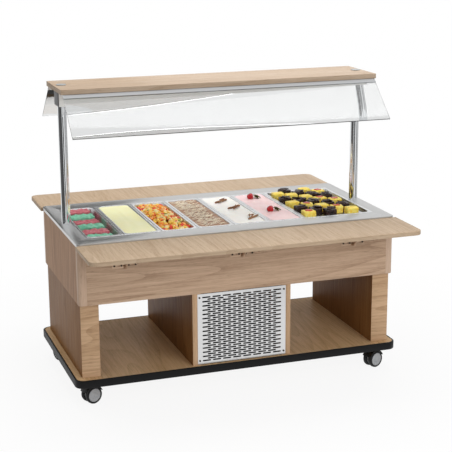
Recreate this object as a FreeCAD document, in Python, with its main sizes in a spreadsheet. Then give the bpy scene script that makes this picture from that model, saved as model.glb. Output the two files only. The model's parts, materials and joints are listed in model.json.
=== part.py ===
import FreeCAD, Part
import math
import os
import re

import Sketcher

# Mobile salad bar: a refrigerated well for four large food pans in a wood-finished cabinet on castors,
# with a lit canopy on two posts, two slanted clear guards and a fold-down tray board front and rear.
# Millimetres. +X runs along the length, the customer's front side faces -Y, +Z is up.
# The origin is on the floor below the middle of the cabinet.

SIZES = {
    # worktop: stainless sheet with its edges folded down over the apron
    "worktop_length": 1414,
    "worktop_depth": 715,
    "worktop_height": 711,
    "worktop_sheet": 1.5,
    "worktop_lip": 14,
    "apron_corner_radius": 16,
    # food pans: standard width step and length, lifted straight out of the well
    "pan_pitch": 162.5,
    "pan_length": 530,
    "pan_gap": 0.6,
    "pan_rim_width": 13,
    "pan_rim_thickness": 1.2,
    "pan_sheet": 1,
    "pan_depth": 65,
    "tray_depth": 22,
    "pan_corner_radius": 22,
    "pan_rim_corner": 6,
    "pan_seat": 8,
    # refrigerated well
    "liner_sheet": 1.2,
    "liner_depth": 120,
    "liner_corner_radius": 4,
    "liner_flange": 15,
    "foam_side": 28,
    "foam_bottom": 45,
    "coil_tube_radius": 4.8,
    "coil_bend_radius": 38,
    "coil_tail_bend_radius": 10,
    "coil_pitch": 90,
    "coil_run_length": 380,
    "coil_edge_offset": 235,
    "coil_contact_gap": 0.1,
    "coil_duct_side": 6,
    "pipe_hole_clearance": 1,
    "drain_x": 150,
    "drain_y": 120,
    "drain_radius": 14,
    "drain_bore_radius": 11,
    "drain_flange_radius": 25,
    "drain_flange_thickness": 2,
    "drain_drop": 36,
    "drain_cap_radius": 18,
    "drain_cap_height": 14,
    # apron: panels between four rounded corner posts, closed below by a board
    "apron_bottom_height": 450,
    "panel_board": 18,
    "corner_post_width": 34,
    # pedestals, partitions and base
    "pedestal_span": 1396,
    "pedestal_width": 78,
    "pedestal_depth": 668,
    "bay_width": 406,
    "partition_board": 19,
    "partition_setback": 2,
    "cleat_width": 20,
    "base_length": 1461,
    "base_depth": 743,
    "base_top_height": 131,
    "base_board_thickness": 30,
    "base_corner_radius": 40,
    "bumper_thickness": 8,
    "bumper_height": 34,
    # perforated grilles of the centre bay
    "grille_sheet": 1.5,
    "grille_side_gap": 3,
    "slot_length": 37,
    "slot_height": 6.4,
    "slot_pitch": 45.8,
    "slot_row_pitch": 9.4,
    "screw_inset": 9,
    "screw_edge_offset": 16,
    "screw_radius": 2,
    "screw_length": 15,
    "screw_head_radius": 4,
    "screw_head_height": 2.2,
    "screw_hole_clearance": 0.25,
    # control panel above the rear grille
    "control_panel_height": 84,
    "control_box_x": 40,
    "control_box_length": 130,
    "control_box_height": 64,
    "control_box_depth": 46,
    "knob_x": 72,
    "knob_radius": 17,
    "knob_height": 15,
    "knob_shaft_radius": 3,
    "knob_panel_gap": 1,
    "knob_bore_depth": 16,
    "knob_mark_width": 2.5,
    "knob_mark_depth": 1.5,
    "rocker_x": 10,
    "rocker_radius": 12,
    "rocker_width": 17,
    "rocker_half_height": 11,
    "rocker_recess_depth": 20,
    "rocker_pivot_depth": 7,
    "rocker_pin_radius": 1.5,
    "rocker_pin_length": 2,
    "rocker_side_gap": 0.5,
    "rocker_back": 4,
    "inlet_x": -110,
    "inlet_width": 28,
    "inlet_height": 22,
    "inlet_depth": 30,
    "inlet_wall": 2,
    "inlet_recess": 20,
    "inlet_flange": 10,
    "inlet_flange_thickness": 2,
    "inlet_pin_spacing": 7,
    "inlet_pin_length": 14,
    "inlet_pin_thickness": 2,
    "running_clearance": 0.05,
    # condensing unit on the floor of the centre bay
    "unit_tray_width": 350,
    "unit_tray_depth": 650,
    "unit_tray_sheet": 2,
    "unit_tray_edge": 14,
    "compressor_y": 130,
    "compressor_port_offset": 40,
    "compressor_radius": 78,
    "compressor_height": 165,
    "compressor_rounding": 34,
    "compressor_plate_side": 150,
    "compressor_foot_spacing": 120,
    "compressor_foot_radius": 13,
    "compressor_foot_height": 16,
    "compressor_plate": 4,
    "condenser_width": 300,
    "condenser_height": 236,
    "condenser_depth": 44,
    "condenser_y": -285,
    "condenser_fin_pitch": 9,
    "condenser_fin_gap": 6.5,
    "condenser_end_plate": 6,
    "shroud_depth": 44,
    "shroud_sheet": 1.5,
    "fan_opening_radius": 104,
    "fan_radius": 98,
    "fan_hub_radius": 28,
    "fan_hub_length": 24,
    "fan_blade_thickness": 2,
    "fan_blade_chord": 34,
    "fan_blade_twist": 32,
    "motor_radius": 36,
    "motor_length": 62,
    "motor_shaft_radius": 4,
    "motor_bracket_width": 24,
    "motor_bracket_thickness": 3,
    "refrigerant_tube_radius": 4,
    "refrigerant_bend_radius": 16,
    "drier_radius": 12,
    "drier_length": 90,
    "drier_height": 200,
    "pipe_drop": 50,
    "discharge_gap": 12,
    "pipe_outlet_height": 30,
    # canopy
    "post_x": 673,
    "post_radius": 19,
    "post_wall": 2,
    "post_top_plate": 8,
    "post_cap_radius": 21,
    "post_cap_height": 4,
    "post_bolt_radius": 5,
    "post_bolt_clearance": 0.3,
    "shelf_length": 1412,
    "shelf_depth": 296,
    "shelf_height": 1308,
    "shelf_board": 20,
    "shelf_corner_radius": 5,
    "light_box_length": 1391,
    "light_box_depth": 84,
    "light_box_height": 65,
    "light_box_sheet": 2,
    "light_box_end_thickness": 3,
    "light_box_post_margin": 3,
    "diffuser_thickness": 3,
    "diffuser_recess": 3,
    "lamp_radius": 8,
    "lamp_length": 1170,
    "lamp_holder_length": 14,
    "lamp_holder_width": 20,
    "lamp_drop": 14,
    "guard_length": 1396,
    "guard_thickness": 5,
    "guard_width": 224,
    "guard_lean": 47.5,
    "guard_top_y": 146,
    "guard_top_drop": 3,
    "clamp_wall": 2,
    "clamp_grip": 18,
    "clamp_flange": 26,
    "clamp_clearance": 0.1,
    # tray boards on folding brackets, one front and one rear
    "tray_board_length": 1427,
    "tray_board_reach": 260,
    "tray_board_thickness": 18,
    "tray_board_drop": 5,
    "tray_board_edge_gap": 1.5,
    "tray_board_corner_radius": 34,
    "bracket_spacing": 510,
    "hinge_offset": 12,
    "hinge_drop": 10,
    "strut_pivot_drop": 75,
    "leaf_width": 30,
    "leaf_thickness": 2.5,
    "leaf_head": 8,
    "leaf_foot_width": 110,
    "leaf_foot_height": 18,
    "leaf_foot_drop": 81,
    "leaf_screw_spacing": 30,
    "leaf_screw_margin": 2.5,
    "ear_gap_half": 4.5,
    "ear_thickness": 2,
    "ear_radius": 7,
    "bracket_pin_radius": 3,
    "arm_width": 20,
    "arm_thickness": 2,
    "arm_skirt": 4,
    "arm_tail": 8,
    "arm_reach": 222,
    "pin_overhang": 0.8,
    "strut_thickness": 8,
    "strut_seat_gap": 0.3,
    # twin-wheel swivel castors
    "castor_inset_x": 61.5,
    "castor_inset_y": 81.5,
    "castor_trail": 20,
    "wheel_radius": 37.5,
    "wheel_width": 18,
    "wheel_shoulder": 2.5,
    "wheel_disc_radius": 28,
    "wheel_hub_radius": 11,
    "wheel_dish": 2,
    "wheel_side_gap": 0.6,
    "castor_web": 14,
    "castor_axle_radius": 4,
    "castor_hood_gap": 2,
    "castor_hood_thickness": 2.5,
    "castor_hub_radius": 15,
    "castor_hub_height": 18,
    "castor_foot": 9,
    "castor_swivel_gap": 0.3,
    "castor_pin_radius": 6,
    "castor_pin_length": 16,
    "castor_pin_end_gap": 0.5,
    "castor_plate_side": 58,
    "castor_plate_thickness": 3,
}

GRILLE_ROWS = 31
REAR_GRILLE_ROWS = 22
SLOTS_PER_ROW = 8
COIL_RUNS = 13
FAN_BLADES = 5
# The well is divided into equal pitch steps: one for each small pan and two for the flat tray.
SMALL_PANS = 6
TRAY_STEPS = 2
WELL_STEPS = SMALL_PANS + TRAY_STEPS
# Each castor turns freely; these are the directions its wheels trail in, in degrees from +X.
CASTOR_HEADINGS = {
    "front_left": 20,
    "front_right": 200,
    "rear_left": 290,
    "rear_right": 75,
}

doc = FreeCAD.newDocument("salad_bar")
sheet = doc.addObject("Spreadsheet::Sheet", "Sizes")
for row, (alias, size) in enumerate(SIZES.items(), start=1):
    sheet.set(f"A{row}", alias)
    sheet.set(f"B{row}", str(size))
    sheet.setAlias(f"B{row}", alias)
doc.recompute()

Vector = FreeCAD.Vector
subparts = {}


# ---- shared ways of drawing a piece -------------------------------------------------------------

def linked(text):
    """An expression in plain size names, with each name pointing at its cell."""
    return re.sub(r"[a-z][a-z_]+", lambda word: named_cell(word.group()), str(text))


def named_cell(word):
    return f"Sizes.{word}" if word in SIZES else word


def bind(piece, property_name, text):
    piece.setExpression(property_name, linked(text))


def number(text):
    """The present value of an expression in size names, as a plain number."""
    result = sheet.evalExpression(linked(text))
    return float(getattr(result, "Value", result))


def place(piece, x, y, z):
    bind(piece, "Placement.Base.x", x)
    bind(piece, "Placement.Base.y", y)
    bind(piece, "Placement.Base.z", z)
    return piece


def block(name, length, depth, height, x, y, bottom):
    """A box centred on x and y, standing on bottom."""
    box = doc.addObject("Part::Box", name)
    bind(box, "Length", length)
    bind(box, "Width", depth)
    bind(box, "Height", height)
    return place(box, f"{x} - ({length}) / 2", f"{y} - ({depth}) / 2", bottom)


TURN_TO = {
    "Z": FreeCAD.Rotation(),
    "X": FreeCAD.Rotation(Vector(0, 1, 0), 90),
    "Y": FreeCAD.Rotation(Vector(1, 0, 0), -90),
}


def rod(name, radius, length, x, y, z, axis="Z"):
    """A cylinder from (x, y, z) along +axis."""
    cylinder = doc.addObject("Part::Cylinder", name)
    cylinder.Placement = FreeCAD.Placement(Vector(), TURN_TO[axis])
    bind(cylinder, "Radius", radius)
    bind(cylinder, "Height", length)
    return place(cylinder, x, y, z)


def cut(name, base, *tools):
    result = doc.addObject("Part::Cut", name)
    result.Base = base
    result.Tool = tools[0] if len(tools) == 1 else group(f"{name}_tools", *tools)
    return result


def join(name, *pieces):
    result = doc.addObject("Part::MultiFuse", name)
    result.Shapes = list(pieces)
    return result


def overlap_of(name, *pieces):
    result = doc.addObject("Part::MultiCommon", name)
    result.Shapes = list(pieces)
    return result


def group(name, *pieces):
    """Separate solids kept side by side in one object."""
    result = doc.addObject("Part::Compound", name)
    result.Links = list(pieces)
    return result


def mirrored(name, source, normal):
    result = doc.addObject("Part::Mirroring", name)
    result.Source = source
    result.Base = Vector()
    result.Normal = Vector(*normal)
    return result


def new_body(name):
    return doc.addObject("PartDesign::Body", name)


def origin_feature(body, role):
    return next(feature for feature in body.Origin.OriginFeatures if feature.Role == role)


def new_sketch(body, name, plane, offset=("0", "0", "0")):
    sketch = body.newObject("Sketcher::SketchObject", name)
    sketch.AttachmentSupport = [(origin_feature(body, plane), "")]
    sketch.MapMode = "FlatFace"
    for axis, text in zip("xyz", offset):
        bind(sketch, f"AttachmentOffset.Base.{axis}", text)
    return sketch


def set_distance(sketch, kind, *arguments):
    """Add a dimension whose value follows the expression given last."""
    *references, text = arguments
    index = sketch.addConstraint(Sketcher.Constraint(kind, *references, number(text)))
    bind(sketch, f"Constraints[{index}]", text)


def rounded_outline(body, name, length, depth, radius, x="0", y="0", level="0", plane="XY_Plane"):
    """A rectangle with round corners, centred on (x, y) of the plane's own axes."""
    sketch = new_sketch(body, name, plane, (x, y, level))
    half_length = number(length) / 2
    half_depth = number(depth) / 2
    corner = number(radius)
    inner_x = half_length - corner
    inner_y = half_depth - corner
    sides = [
        (Vector(-inner_x, -half_depth), Vector(inner_x, -half_depth)),
        (Vector(half_length, -inner_y), Vector(half_length, inner_y)),
        (Vector(inner_x, half_depth), Vector(-inner_x, half_depth)),
        (Vector(-half_length, inner_y), Vector(-half_length, -inner_y)),
    ]
    centres = [(inner_x, -inner_y), (inner_x, inner_y), (-inner_x, inner_y), (-inner_x, -inner_y)]
    for start, end in sides:
        sketch.addGeometry(Part.LineSegment(start, end))
    for quarter, (centre_x, centre_y) in enumerate(centres):
        circle = Part.Circle(Vector(centre_x, centre_y), Vector(0, 0, 1), corner)
        start_angle = (quarter - 1) * math.pi / 2
        sketch.addGeometry(Part.ArcOfCircle(circle, start_angle, start_angle + math.pi / 2))
    for side in range(4):
        sketch.addConstraint(Sketcher.Constraint("Tangent", side, 2, side + 4, 1))
        sketch.addConstraint(Sketcher.Constraint("Tangent", side + 4, 2, (side + 1) % 4, 1))
        sketch.addConstraint(Sketcher.Constraint("Horizontal" if side % 2 == 0 else "Vertical", side))
    for corner_arc in (5, 6, 7):
        sketch.addConstraint(Sketcher.Constraint("Equal", 4, corner_arc))
    sketch.addConstraint(Sketcher.Constraint("Symmetric", 4, 3, 6, 3, -1, 1))
    set_distance(sketch, "Radius", 4, radius)
    set_distance(sketch, "DistanceX", 3, 1, 1, 1, length)
    set_distance(sketch, "DistanceY", 0, 1, 2, 1, depth)
    return sketch


def profile_outline(body, name, plane, points, level="0"):
    """A closed outline of straight lines through points given as pairs of expressions."""
    sketch = new_sketch(body, name, plane, ("0", "0", level))
    spots = [Vector(number(across), number(up)) for across, up in points]
    for index, spot in enumerate(spots):
        sketch.addGeometry(Part.LineSegment(spot, spots[(index + 1) % len(spots)]))
    for index in range(len(spots)):
        following = (index + 1) % len(spots)
        sketch.addConstraint(Sketcher.Constraint("Coincident", index, 2, following, 1))
    for index, (across, up) in enumerate(points):
        set_distance(sketch, "DistanceX", -1, 1, index, 1, across)
        set_distance(sketch, "DistanceY", -1, 1, index, 1, up)
    return sketch


def circle_outline(body, name, radius, x="0", y="0", level="0", plane="XY_Plane"):
    sketch = new_sketch(body, name, plane, (x, y, level))
    sketch.addGeometry(Part.Circle(Vector(), Vector(0, 0, 1), number(radius)))
    sketch.addConstraint(Sketcher.Constraint("Coincident", 0, 3, -1, 1))
    set_distance(sketch, "Radius", 0, radius)
    return sketch


def pad(body, sketch, height):
    """Material from the sketch's plane along its normal."""
    feature = body.newObject("PartDesign::Pad", f"{sketch.Name}_pad")
    feature.Profile = sketch
    bind(feature, "Length", height)
    return feature


def pocket(body, sketch, height):
    """A cut from the sketch's plane along its normal."""
    feature = body.newObject("PartDesign::Pocket", f"{sketch.Name}_pocket")
    feature.Profile = sketch
    feature.Reversed = True
    bind(feature, "Length", height)
    return feature


def turned(body, sketch, axis_role):
    """A full turn of the profile about one of the body's own axes."""
    feature = body.newObject("PartDesign::Revolution", f"{sketch.Name}_turned")
    feature.Profile = sketch
    feature.ReferenceAxis = (origin_feature(body, axis_role), [""])
    feature.Angle = 360
    return feature


def rounded_board(name, length, depth, thickness, radius, bottom, y="0"):
    body = new_body(name)
    pad(body, rounded_outline(body, f"{name}_outline", length, depth, radius, y=y, level=bottom), thickness)
    return body


def bent_path(points, bend_radii):
    """Straight runs joined by tangent arcs, one radius for each corner point."""
    edges = []
    run_start = points[0]
    for before, corner, after, bend_radius in zip(points, points[1:], points[2:], bend_radii):
        arriving = (corner - before).normalize()
        leaving = (after - corner).normalize()
        turn = arriving.getAngle(leaving)
        setback = bend_radius * math.tan(turn / 2)
        arc_start = corner - arriving * setback
        arc_end = corner + leaving * setback
        towards_centre = (leaving - arriving).normalize()
        centre = corner + towards_centre * (bend_radius / math.cos(turn / 2))
        arc_middle = centre - towards_centre * bend_radius
        edges.append(Part.makeLine(run_start, arc_start))
        edges.append(Part.Arc(arc_start, arc_middle, arc_end).toShape())
        run_start = arc_end
    edges.append(Part.makeLine(run_start, points[-1]))
    return Part.Wire(edges)


def bent_tube_shape(points, tube_radius, bend_radii):
    path = bent_path(points, bend_radii)
    first_run = (points[1] - points[0]).normalize()
    section = Part.Wire([Part.makeCircle(tube_radius, points[0], first_run)])
    return path.makePipeShell([section], True, True)


def keep(name, piece):
    """Name a finished sub-part; the name is also its file's name."""
    piece.Label = name
    subparts[name] = piece
    return piece


def both_sides(name, front):
    """The front piece and its mirror image at the rear, as two pieces."""
    return front, mirrored(f"{name}_mirror", front, (0, 1, 0))


# ---- base: board with a black bumper all round --------------------------------------------------

board_length = "base_length - 2 * bumper_thickness"
board_depth = "base_depth - 2 * bumper_thickness"
board_corner = "base_corner_radius - bumper_thickness"
base_bottom = "base_top_height - base_board_thickness"
base_board = rounded_board("base_board", board_length, board_depth, "base_board_thickness",
                           board_corner, base_bottom)
keep("base_board", base_board)

bumper = new_body("bumper_band")
bumper_bottom = "base_top_height - bumper_height"
pad(bumper, rounded_outline(bumper, "bumper_outside", "base_length", "base_depth",
                            "base_corner_radius", level=bumper_bottom), "bumper_height")
pocket(bumper, rounded_outline(bumper, "bumper_inside", board_length, board_depth,
                               board_corner, level=bumper_bottom), "bumper_height")
keep("bumper_band", bumper)

# ---- pedestals and partitions between the base and the apron ------------------------------------

stand_height = "apron_bottom_height - base_top_height"
pedestal_x = "(pedestal_span - pedestal_width) / 2"
pedestal_column = block("pedestal_column", "pedestal_width", "pedestal_depth", stand_height,
                        pedestal_x, "0", "base_top_height")
pedestal_hollow = block("pedestal_hollow", "pedestal_width - 2 * panel_board",
                        "pedestal_depth - 2 * panel_board", stand_height, pedestal_x, "0",
                        "base_top_height")
pedestal_right = cut("pedestal_right", pedestal_column, pedestal_hollow)
pedestal_left = mirrored("pedestal_left", pedestal_right, (1, 0, 0))
keep("pedestals", group("pedestals", pedestal_left, pedestal_right))

apron_length = "(worktop_length - 2 * worktop_sheet)"
apron_depth = "(worktop_depth - 2 * worktop_sheet)"
bay_front_y = f"({apron_depth} / 2 - partition_setback)"
partition_x = "(bay_width + partition_board) / 2"
partition_panel = block("partition_panel", "partition_board", f"2 * {bay_front_y}", stand_height,
                        partition_x, "0", "base_top_height")
cleat_x = "(bay_width - cleat_width) / 2"
cleat_y = f"({bay_front_y} - grille_sheet - cleat_width / 2)"
cleats = [block(f"cleat_{side}", "cleat_width", "cleat_width", stand_height, cleat_x,
                f"{sign} * {cleat_y}", "base_top_height")
          for side, sign in (("front", -1), ("rear", 1))]
partition_with_cleats = join("partition_with_cleats", partition_panel, *cleats)

# ---- grilles: staggered slots, eight in one row and seven in the next --------------------------

grille_width = "(bay_width - 2 * grille_side_gap)"
screw_x = f"({grille_width} / 2 - screw_inset)"


def slot_outline(body, name, x, z):
    sketch = new_sketch(body, name, "XZ_Plane", (x, z, "0"))
    radius = number("slot_height / 2")
    reach = number("(slot_length - slot_height) / 2")
    sketch.addGeometry(Part.LineSegment(Vector(-reach, -radius), Vector(reach, -radius)))
    right_end = Part.Circle(Vector(reach, 0), Vector(0, 0, 1), radius)
    sketch.addGeometry(Part.ArcOfCircle(right_end, -math.pi / 2, math.pi / 2))
    sketch.addGeometry(Part.LineSegment(Vector(reach, radius), Vector(-reach, radius)))
    left_end = Part.Circle(Vector(-reach, 0), Vector(0, 0, 1), radius)
    sketch.addGeometry(Part.ArcOfCircle(left_end, math.pi / 2, 3 * math.pi / 2))
    for edge in range(4):
        sketch.addConstraint(Sketcher.Constraint("Tangent", edge, 2, (edge + 1) % 4, 1))
    sketch.addConstraint(Sketcher.Constraint("Horizontal", 0))
    sketch.addConstraint(Sketcher.Constraint("Symmetric", 1, 3, 3, 3, -1, 1))
    set_distance(sketch, "Radius", 1, "slot_height / 2")
    set_distance(sketch, "DistanceX", 3, 3, 1, 3, "slot_length - slot_height")
    return sketch


def slot_rows(body, name, columns, rows, first_x, first_z):
    """One slot cut through the sheet and repeated along and up."""
    slot = slot_outline(body, f"{name}_slot", first_x, first_z)
    opening = body.newObject("PartDesign::Pocket", f"{name}_cut")
    opening.Profile = slot
    opening.Type = 1
    pattern = body.newObject("PartDesign::LinearPattern", f"{name}_rows")
    pattern.Originals = [opening]
    pattern.Direction = (slot, ["H_Axis"])
    pattern.Direction2 = (slot, ["V_Axis"])
    pattern.Occurrences = columns
    pattern.Occurrences2 = rows
    bind(pattern, "Length", f"slot_pitch * {columns - 1}")
    bind(pattern, "Length2", f"2 * slot_row_pitch * {rows - 1}")
    body.Tip = pattern


def grille(name, side, height, bottom, rows):
    """A slotted sheet standing between the partitions; side is -1 at the front and 1 at the rear."""
    body = new_body(name)
    outer_y = f"({side} * {bay_front_y})"
    sheet_box = body.newObject("PartDesign::AdditiveBox", f"{name}_sheet")
    bind(sheet_box, "Length", grille_width)
    bind(sheet_box, "Width", "grille_sheet")
    bind(sheet_box, "Height", height)
    place(sheet_box, f"-{grille_width} / 2", "0", "0")
    doc.recompute()
    margin = f"({height} - {rows - 1} * slot_row_pitch) / 2"
    full_row_x = f"-slot_pitch * {SLOTS_PER_ROW - 1} / 2"
    short_row_x = f"-slot_pitch * {SLOTS_PER_ROW - 2} / 2"
    slot_rows(body, f"{name}_full", SLOTS_PER_ROW, (rows + 1) // 2, full_row_x, margin)
    slot_rows(body, f"{name}_short", SLOTS_PER_ROW - 1, rows // 2, short_row_x,
              f"{margin} + slot_row_pitch")
    return place(body, "0", outer_y if side < 0 else f"{outer_y} - grille_sheet", bottom)


front_grille_height = f"({stand_height} - 2 * grille_side_gap)"
front_grille_bottom = "(base_top_height + grille_side_gap)"
rear_grille_height = f"({front_grille_height} - control_panel_height - grille_side_gap)"
control_panel_bottom = "(apron_bottom_height - grille_side_gap - control_panel_height)"
grille_front_sheet = grille("grille_front_sheet", -1, front_grille_height, front_grille_bottom,
                            GRILLE_ROWS)
grille_rear_sheet = grille("grille_rear_sheet", 1, rear_grille_height, front_grille_bottom,
                           REAR_GRILLE_ROWS)

# Screws through the sheets' side margins into the cleats.
front_screw_heights = [f"{front_grille_bottom} + screw_edge_offset",
                       f"{front_grille_bottom} + {front_grille_height} - screw_edge_offset"]
rear_screw_heights = [f"{front_grille_bottom} + screw_edge_offset",
                      f"{front_grille_bottom} + {rear_grille_height} - screw_edge_offset",
                      f"{control_panel_bottom} + control_panel_height / 2"]
screw_places = [(-1, height) for height in front_screw_heights]
screw_places += [(1, height) for height in rear_screw_heights]


def along_y(side, start, length):
    """Where a cylinder of this length starts, so that it runs from start away from the cabinet."""
    return start if side > 0 else f"{start} - ({length})"


def screw(name, side, height):
    face_y = f"{side} * {bay_front_y}"
    head = rod(f"{name}_head", "screw_head_radius", "screw_head_height", screw_x,
               along_y(side, face_y, "screw_head_height"), height, "Y")
    shank = rod(f"{name}_shank", "screw_radius", "screw_length", screw_x,
                along_y(-side, face_y, "screw_length"), height, "Y")
    return join(name, head, shank)


def screw_hole(name, side, height):
    length = "(screw_length + 2 * grille_sheet)"
    start = f"{side} * ({bay_front_y} + grille_sheet)"
    return rod(name, "screw_radius + screw_hole_clearance", length, screw_x,
               along_y(-side, start, length), height, "Y")


right_screws = [screw(f"screw_{index}", side, height) for index, (side, height) in enumerate(screw_places)]
right_holes = [screw_hole(f"screw_hole_{index}", side, height)
               for index, (side, height) in enumerate(screw_places)]
right_screw_group = group("right_screws", *right_screws)
left_screw_group = mirrored("left_screws", right_screw_group, (1, 0, 0))
right_hole_group = group("right_screw_holes", *right_holes)
left_hole_group = mirrored("left_screw_holes", right_hole_group, (1, 0, 0))
all_screw_holes = (right_hole_group, left_hole_group)
partition_right = cut("partition_right", partition_with_cleats, right_hole_group)
partition_left = mirrored("partition_left", partition_right, (1, 0, 0))
keep("partitions", group("partitions", partition_left, partition_right))
keep("grille_front", cut("grille_front", grille_front_sheet, *all_screw_holes))
keep("grille_rear", cut("grille_rear", grille_rear_sheet, *all_screw_holes))

# ---- apron: rounded corner posts, panels between them, a floor board ----------------------------

apron_height = "(worktop_height - worktop_sheet - apron_bottom_height)"
corner_x = f"({apron_length} - corner_post_width) / 2"
corner_y = f"({apron_depth} - corner_post_width) / 2"
apron_outline = rounded_board("apron_outline", apron_length, apron_depth, apron_height,
                              "apron_corner_radius", "apron_bottom_height")
corner_posts = []
for end, along in (("left", -1), ("right", 1)):
    for side, across in (("front", -1), ("rear", 1)):
        square = block(f"corner_square_{side}_{end}", "corner_post_width", "corner_post_width",
                       apron_height, f"{along} * {corner_x}", f"{across} * {corner_y}",
                       "apron_bottom_height")
        corner_posts.append(overlap_of(f"corner_post_{side}_{end}", apron_outline, square))
keep("apron_corner_posts", group("apron_corner_posts", *corner_posts))

long_panel = block("long_panel", f"{apron_length} - 2 * corner_post_width", "panel_board", apron_height,
                   "0", f"-({apron_depth} - panel_board) / 2", "apron_bottom_height")
end_panel = block("end_panel", "panel_board", f"{apron_depth} - 2 * corner_post_width", apron_height,
                  f"({apron_length} - panel_board) / 2", "0", "apron_bottom_height")

# ---- worktop with the well opening --------------------------------------------------------------

opening_length = f"({WELL_STEPS} * pan_pitch - 2 * pan_seat)"
opening_depth = "(pan_length - 2 * pan_seat)"
worktop_underside = "(worktop_height - worktop_sheet)"
worktop = new_body("worktop")
worktop_bottom = "(worktop_height - worktop_lip)"
pad(worktop, rounded_outline(worktop, "worktop_outside", "worktop_length", "worktop_depth",
                             "apron_corner_radius + worktop_sheet", level=worktop_bottom), "worktop_lip")
pocket(worktop, rounded_outline(worktop, "worktop_inside", apron_length, apron_depth,
                                "apron_corner_radius", level=worktop_bottom), "worktop_lip - worktop_sheet")
pocket(worktop, rounded_outline(worktop, "worktop_opening", opening_length, opening_depth,
                                "liner_corner_radius", level=worktop_underside), "worktop_sheet")
keep("worktop", worktop)

# ---- refrigerated well: folded walls welded to a floor, coil below it, foam, drain --------------

liner_length = f"({opening_length} + 2 * liner_sheet)"
liner_width = f"({opening_depth} + 2 * liner_sheet)"
liner_outer_radius = "(liner_corner_radius + liner_sheet)"
liner_bottom = f"({worktop_underside} - liner_depth)"
flange_bottom = f"({worktop_underside} - liner_sheet)"
liner_floor_top = f"({liner_bottom} + liner_sheet)"
well_floor = new_body("well_floor")
pad(well_floor, rounded_outline(well_floor, "well_floor_outline", liner_length, liner_width,
                                liner_outer_radius, level=liner_bottom), "liner_sheet")
pocket(well_floor, circle_outline(well_floor, "drain_hole", "drain_bore_radius", "drain_x", "drain_y",
                                  liner_bottom), "liner_sheet")
keep("well_floor", well_floor)

well_walls = new_body("well_walls")
wall_height = "(liner_depth - liner_sheet)"
pad(well_walls, rounded_outline(well_walls, "walls_outside", liner_length, liner_width,
                                liner_outer_radius, level=liner_floor_top), wall_height)
pad(well_walls, rounded_outline(well_walls, "walls_flange", f"{liner_length} + 2 * liner_flange",
                                f"{liner_width} + 2 * liner_flange",
                                f"{liner_outer_radius} + liner_flange", level=flange_bottom), "liner_sheet")
pocket(well_walls, rounded_outline(well_walls, "walls_inside", opening_length, opening_depth,
                                   "liner_corner_radius", level=liner_floor_top), wall_height)
keep("well_walls", well_walls)

# The coil snakes across the underside of the well floor. One tail drops to the top of the compressor,
# the other to the top of the drier beside the fan.
coil_z = number(f"{liner_bottom} - coil_tube_radius - coil_contact_gap")
coil_half_run = number("coil_run_length / 2")
coil_edge = number("coil_edge_offset")
coil_end_x = number(f"coil_pitch * {COIL_RUNS - 1} / 2")
tail_x = number("compressor_port_offset")
unit_floor = "(base_top_height + unit_tray_sheet)"
compressor_top = f"({unit_floor} + compressor_foot_height + compressor_plate + compressor_height)"
drier_top = f"({unit_floor} + drier_height)"
pipe_level = number("apron_bottom_height - pipe_drop")
pipe_side_x = number("(condenser_width + bay_width) / 4")
port_y = number("compressor_y")
coil_points = [
    Vector(-tail_x, port_y, number(compressor_top)),
    Vector(-tail_x, port_y, pipe_level),
    Vector(-tail_x, coil_edge, pipe_level),
    Vector(-tail_x, coil_edge, coil_z),
    Vector(-coil_end_x, coil_edge, coil_z),
]
for run in range(COIL_RUNS):
    run_x = -coil_end_x + run * number("coil_pitch")
    run_end = -coil_half_run if run % 2 == 0 else coil_half_run
    if run > 0:
        coil_points.append(Vector(run_x, -run_end, coil_z))
    if run < COIL_RUNS - 1:
        coil_points.append(Vector(run_x, run_end, coil_z))
coil_points += [
    Vector(coil_end_x, -coil_edge, coil_z),
    Vector(tail_x, -coil_edge, coil_z),
    Vector(tail_x, -coil_edge, pipe_level),
    Vector(pipe_side_x, -coil_edge, pipe_level),
    Vector(pipe_side_x, -coil_edge, number(drier_top)),
]
tail_bend = number("coil_tail_bend_radius")
tail_bends = [tail_bend] * 3
coil_bends = tail_bends + [number("coil_bend_radius")] * (len(coil_points) - 8) + tail_bends
coil = doc.addObject("Part::Feature", "evaporator_coil")
coil.Shape = bent_tube_shape(coil_points, number("coil_tube_radius"), coil_bends)
keep("evaporator_coil", coil)

foam_bottom_z = f"({liner_bottom} - foam_bottom)"
foam = new_body("foam_block")
foam_height = f"({flange_bottom} - {foam_bottom_z})"
pad(foam, rounded_outline(foam, "foam_outside", f"{liner_length} + 2 * foam_side",
                          f"{liner_width} + 2 * foam_side", f"{liner_outer_radius} + foam_side",
                          level=foam_bottom_z), foam_height)
pocket(foam, rounded_outline(foam, "foam_inside", liner_length, liner_width, liner_outer_radius,
                             level=liner_bottom), "liner_depth")
coil_duct_height = "(2 * coil_tube_radius + coil_contact_gap + coil_duct_side)"
coil_duct = block("coil_duct", f"coil_pitch * {COIL_RUNS - 1} + 4 * coil_tube_radius",
                  "2 * coil_edge_offset + 4 * coil_tube_radius", coil_duct_height, "0", "0",
                  f"{liner_bottom} - {coil_duct_height}")
coil_hole_radius = "(coil_tube_radius + pipe_hole_clearance)"
tail_drop = f"{liner_bottom} - apron_bottom_height"
tail_holes = [rod(f"tail_hole_{index}", coil_hole_radius, tail_drop, f"{sign} * compressor_port_offset",
                  f"-{sign} * coil_edge_offset", "apron_bottom_height")
              for index, sign in enumerate((-1, 1))]
drain_hole = rod("drain_shaft_hole", "drain_radius + pipe_hole_clearance", tail_drop, "drain_x", "drain_y",
                 "apron_bottom_height")
flange_recess = rod("drain_flange_recess", "drain_flange_radius + pipe_hole_clearance",
                    "drain_flange_thickness + pipe_hole_clearance", "drain_x", "drain_y",
                    f"{liner_bottom} - drain_flange_thickness - pipe_hole_clearance")
keep("well_insulation", cut("well_insulation", foam, coil_duct, *tail_holes, drain_hole, flange_recess))

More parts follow.
